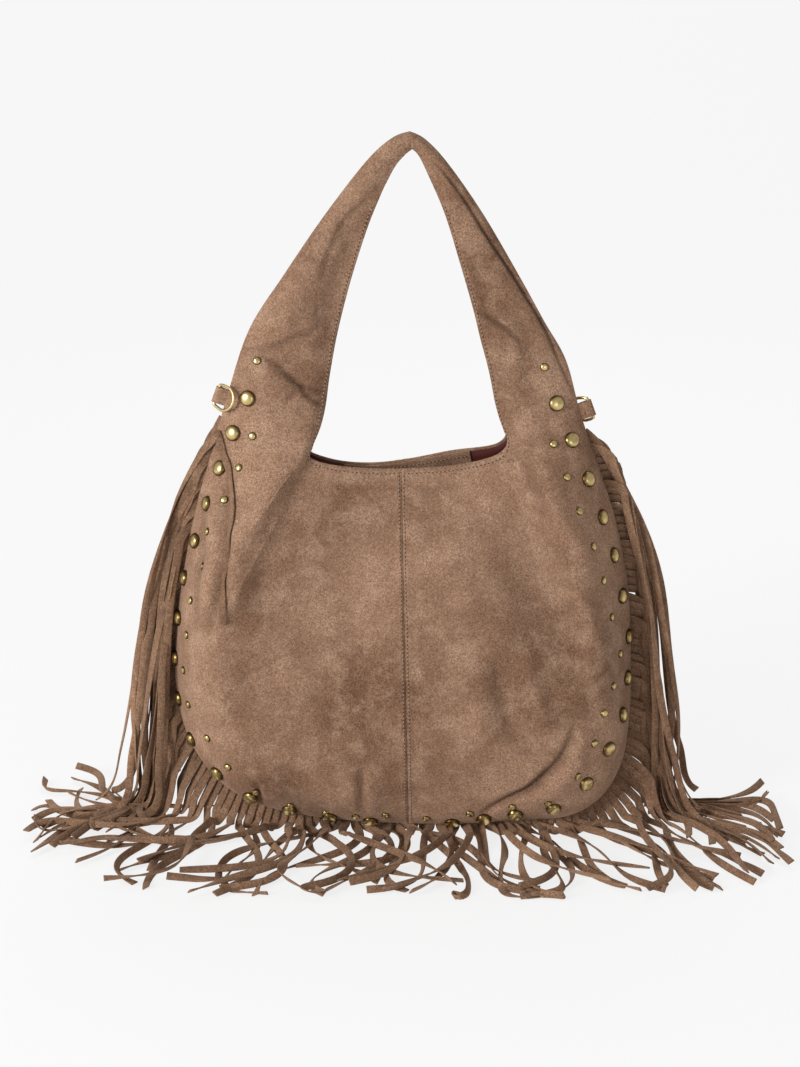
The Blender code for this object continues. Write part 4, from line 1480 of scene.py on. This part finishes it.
                deep = np.cross(tangent[k], wide)
                slim = 1.0 + 0.27 * math.exp(-((k / 16.0) ** 2))
                lowest = abs(wide[2]) * half_w + abs(deep[2]) * half_t
                centre = line[k] + [0.0, 0.0, max(0.1 + lowest - line[k, 2], 0.0)]
                for across, out in ring:
                    vertices.append(centre + wide * across * slim + deep * out)
                    tones.append(strands.tone[s])
                    # painted shade where the strand leaves the seam, fading along it
                    painted_root_shade.append(0.35 * math.exp(-k * 0.35))
            for k in range(fine - 1):
                for j in range(count):
                    a, b = start + k * count + j, start + k * count + (j + 1) % count
                    faces.append((a, a + count, b + count, b))
            faces.append(tuple(start + j for j in range(count)))
            end = start + (fine - 1) * count
            faces.append(tuple(end + count - 1 - j for j in range(count)))
        return np.array(vertices), faces, np.array(tones), np.array(painted_root_shade)

    def build(self) -> None:
        """Make the fringe in three pieces: left curtain, right curtain, and the bottom seam's strands."""
        everyone = self.plan()
        points = self.guess(everyone)
        points = self.relax(everyone, points)
        self.gather(everyone, points)
        self.keep_off_bag(points)
        self.lay_in_front(everyone, points)
        bottom = everyone.root[:, 2] < self.bottom_seam_z
        groups = {
            "fringe_left": (everyone.side < 0) & ~bottom,
            "fringe_right": (everyone.side > 0) & ~bottom,
            "fringe_base": bottom,
        }
        for node, mask in groups.items():
            strands = everyone.part(mask)
            vertices, faces, tones, painted_root_shade = self.ribbons(strands, points[mask])
            vertices[:, 2] = np.maximum(vertices[:, 2], 0.1)
            obj = mesh_object(f"suede_{node}", vertices, faces, self.finishes.strand)
            set_attribute(obj.data, "tone", tones)
            set_attribute(obj.data, "hollow", painted_root_shade)
            turn_faces_out(obj)
            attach(obj, BODY)
            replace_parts(obj, node)
            LOG.info("%s: %d strands, %d faces", obj.name, int(mask.sum()), len(obj.data.polygons))


# ---------------------------------------------------------------- studio


@dataclass
class Studio:
    """Pale sweep, soft lights and the camera."""

    distance: float = 1900.0
    elevation: float = 16.0
    target: tuple[float, float, float] = (-3.0, 0.0, 234.5)
    lens: float = 82.2
    paper_glow: float = 0.86

    def camera(self) -> None:
        """Set the camera in front of the bag, looking slightly down."""
        angle = math.radians(self.elevation)
        place = Vector(self.target) + Vector((0.0, -math.cos(angle), math.sin(angle))) * self.distance
        data = bpy.data.cameras.new("camera")
        data.lens = self.lens
        data.sensor_width = 36.0
        data.clip_end = 50.0
        obj = link(bpy.data.objects.new("camera", data))
        obj.location = place * MM
        obj.rotation_euler = (math.pi / 2 - angle, 0.0, 0.0)
        bpy.context.scene.camera = obj

    def light(self, name: str, place: tuple[float, float, float], size: float, power: float) -> None:
        """Add a square softbox that faces the bag's middle."""
        data = bpy.data.lights.new(name, "AREA")
        data.shape = "SQUARE"
        data.size = size
        data.energy = power
        obj = link(bpy.data.objects.new(name, data))
        obj.location = place
        aim = Vector((0.0, 0.0, 0.25)) - Vector(place)
        obj.rotation_euler = aim.to_track_quat("-Z", "Y").to_euler()

    def sweep(self) -> None:
        """Add the pale paper that runs from under the bag up behind it."""
        material, _, shader = new_material("pale_matt_paper")
        set_inputs(shader, {
            "Base Color": to_linear("6a6a6a"),
            "Roughness": 1.0,
            "Specular IOR Level": 0.0,
            "Emission Color": to_linear("f7f7f7"),
            "Emission Strength": self.paper_glow,
        })
        width, front, bend_at, radius, top = 5000.0, -4500.0, 2200.0, 900.0, 5500.0
        profile = [(front, 0.0), (bend_at, 0.0)]
        bend = np.linspace(0.1, math.pi / 2, 14)
        profile += [(bend_at + radius * math.sin(a), radius * (1.0 - math.cos(a))) for a in bend]
        profile.append((bend_at + radius, top))
        points = [(x, y, z) for y, z in profile for x in (-width, width)]
        mesh_object("paper_sweep", np.array(points), grid_faces(len(profile), 2), material)

    def build(self) -> None:
        """Make the whole studio."""
        self.camera()
        self.sweep()
        self.light("key_softbox", (-2.0, -1.8, 1.0), 0.9, 66.0)
        self.light("fill_softbox", (0.9, -2.2, 0.3), 1.0, 8.0)
        self.light("rim_softbox", (0.3, 1.6, 2.2), 1.2, 16.0)
        world = bpy.data.worlds.new("studio_white")
        world.use_nodes = True
        set_inputs(world.node_tree.nodes["Background"], {"Color": to_linear("ffffff"), "Strength": 0.5})
        bpy.context.scene.world = world
        bpy.context.scene.view_settings.view_transform = "Standard"


def main() -> None:
    """Build the bag and its studio."""
    logging.basicConfig(level=logging.INFO, format="%(name)s %(message)s")
    Studio().build()
    finishes = Finishes()
    shape = BagShape()
    trees = SuedePanels(shape, finishes).build()
    Lining(shape, finishes).build()
    Stitching(shape, finishes, trees).build()
    Studs(shape, finishes, trees).build()
    RingTabs(finishes).build()
    Fringe(shape, finishes, trees).build()


if __name__ == "__main__":
    main()
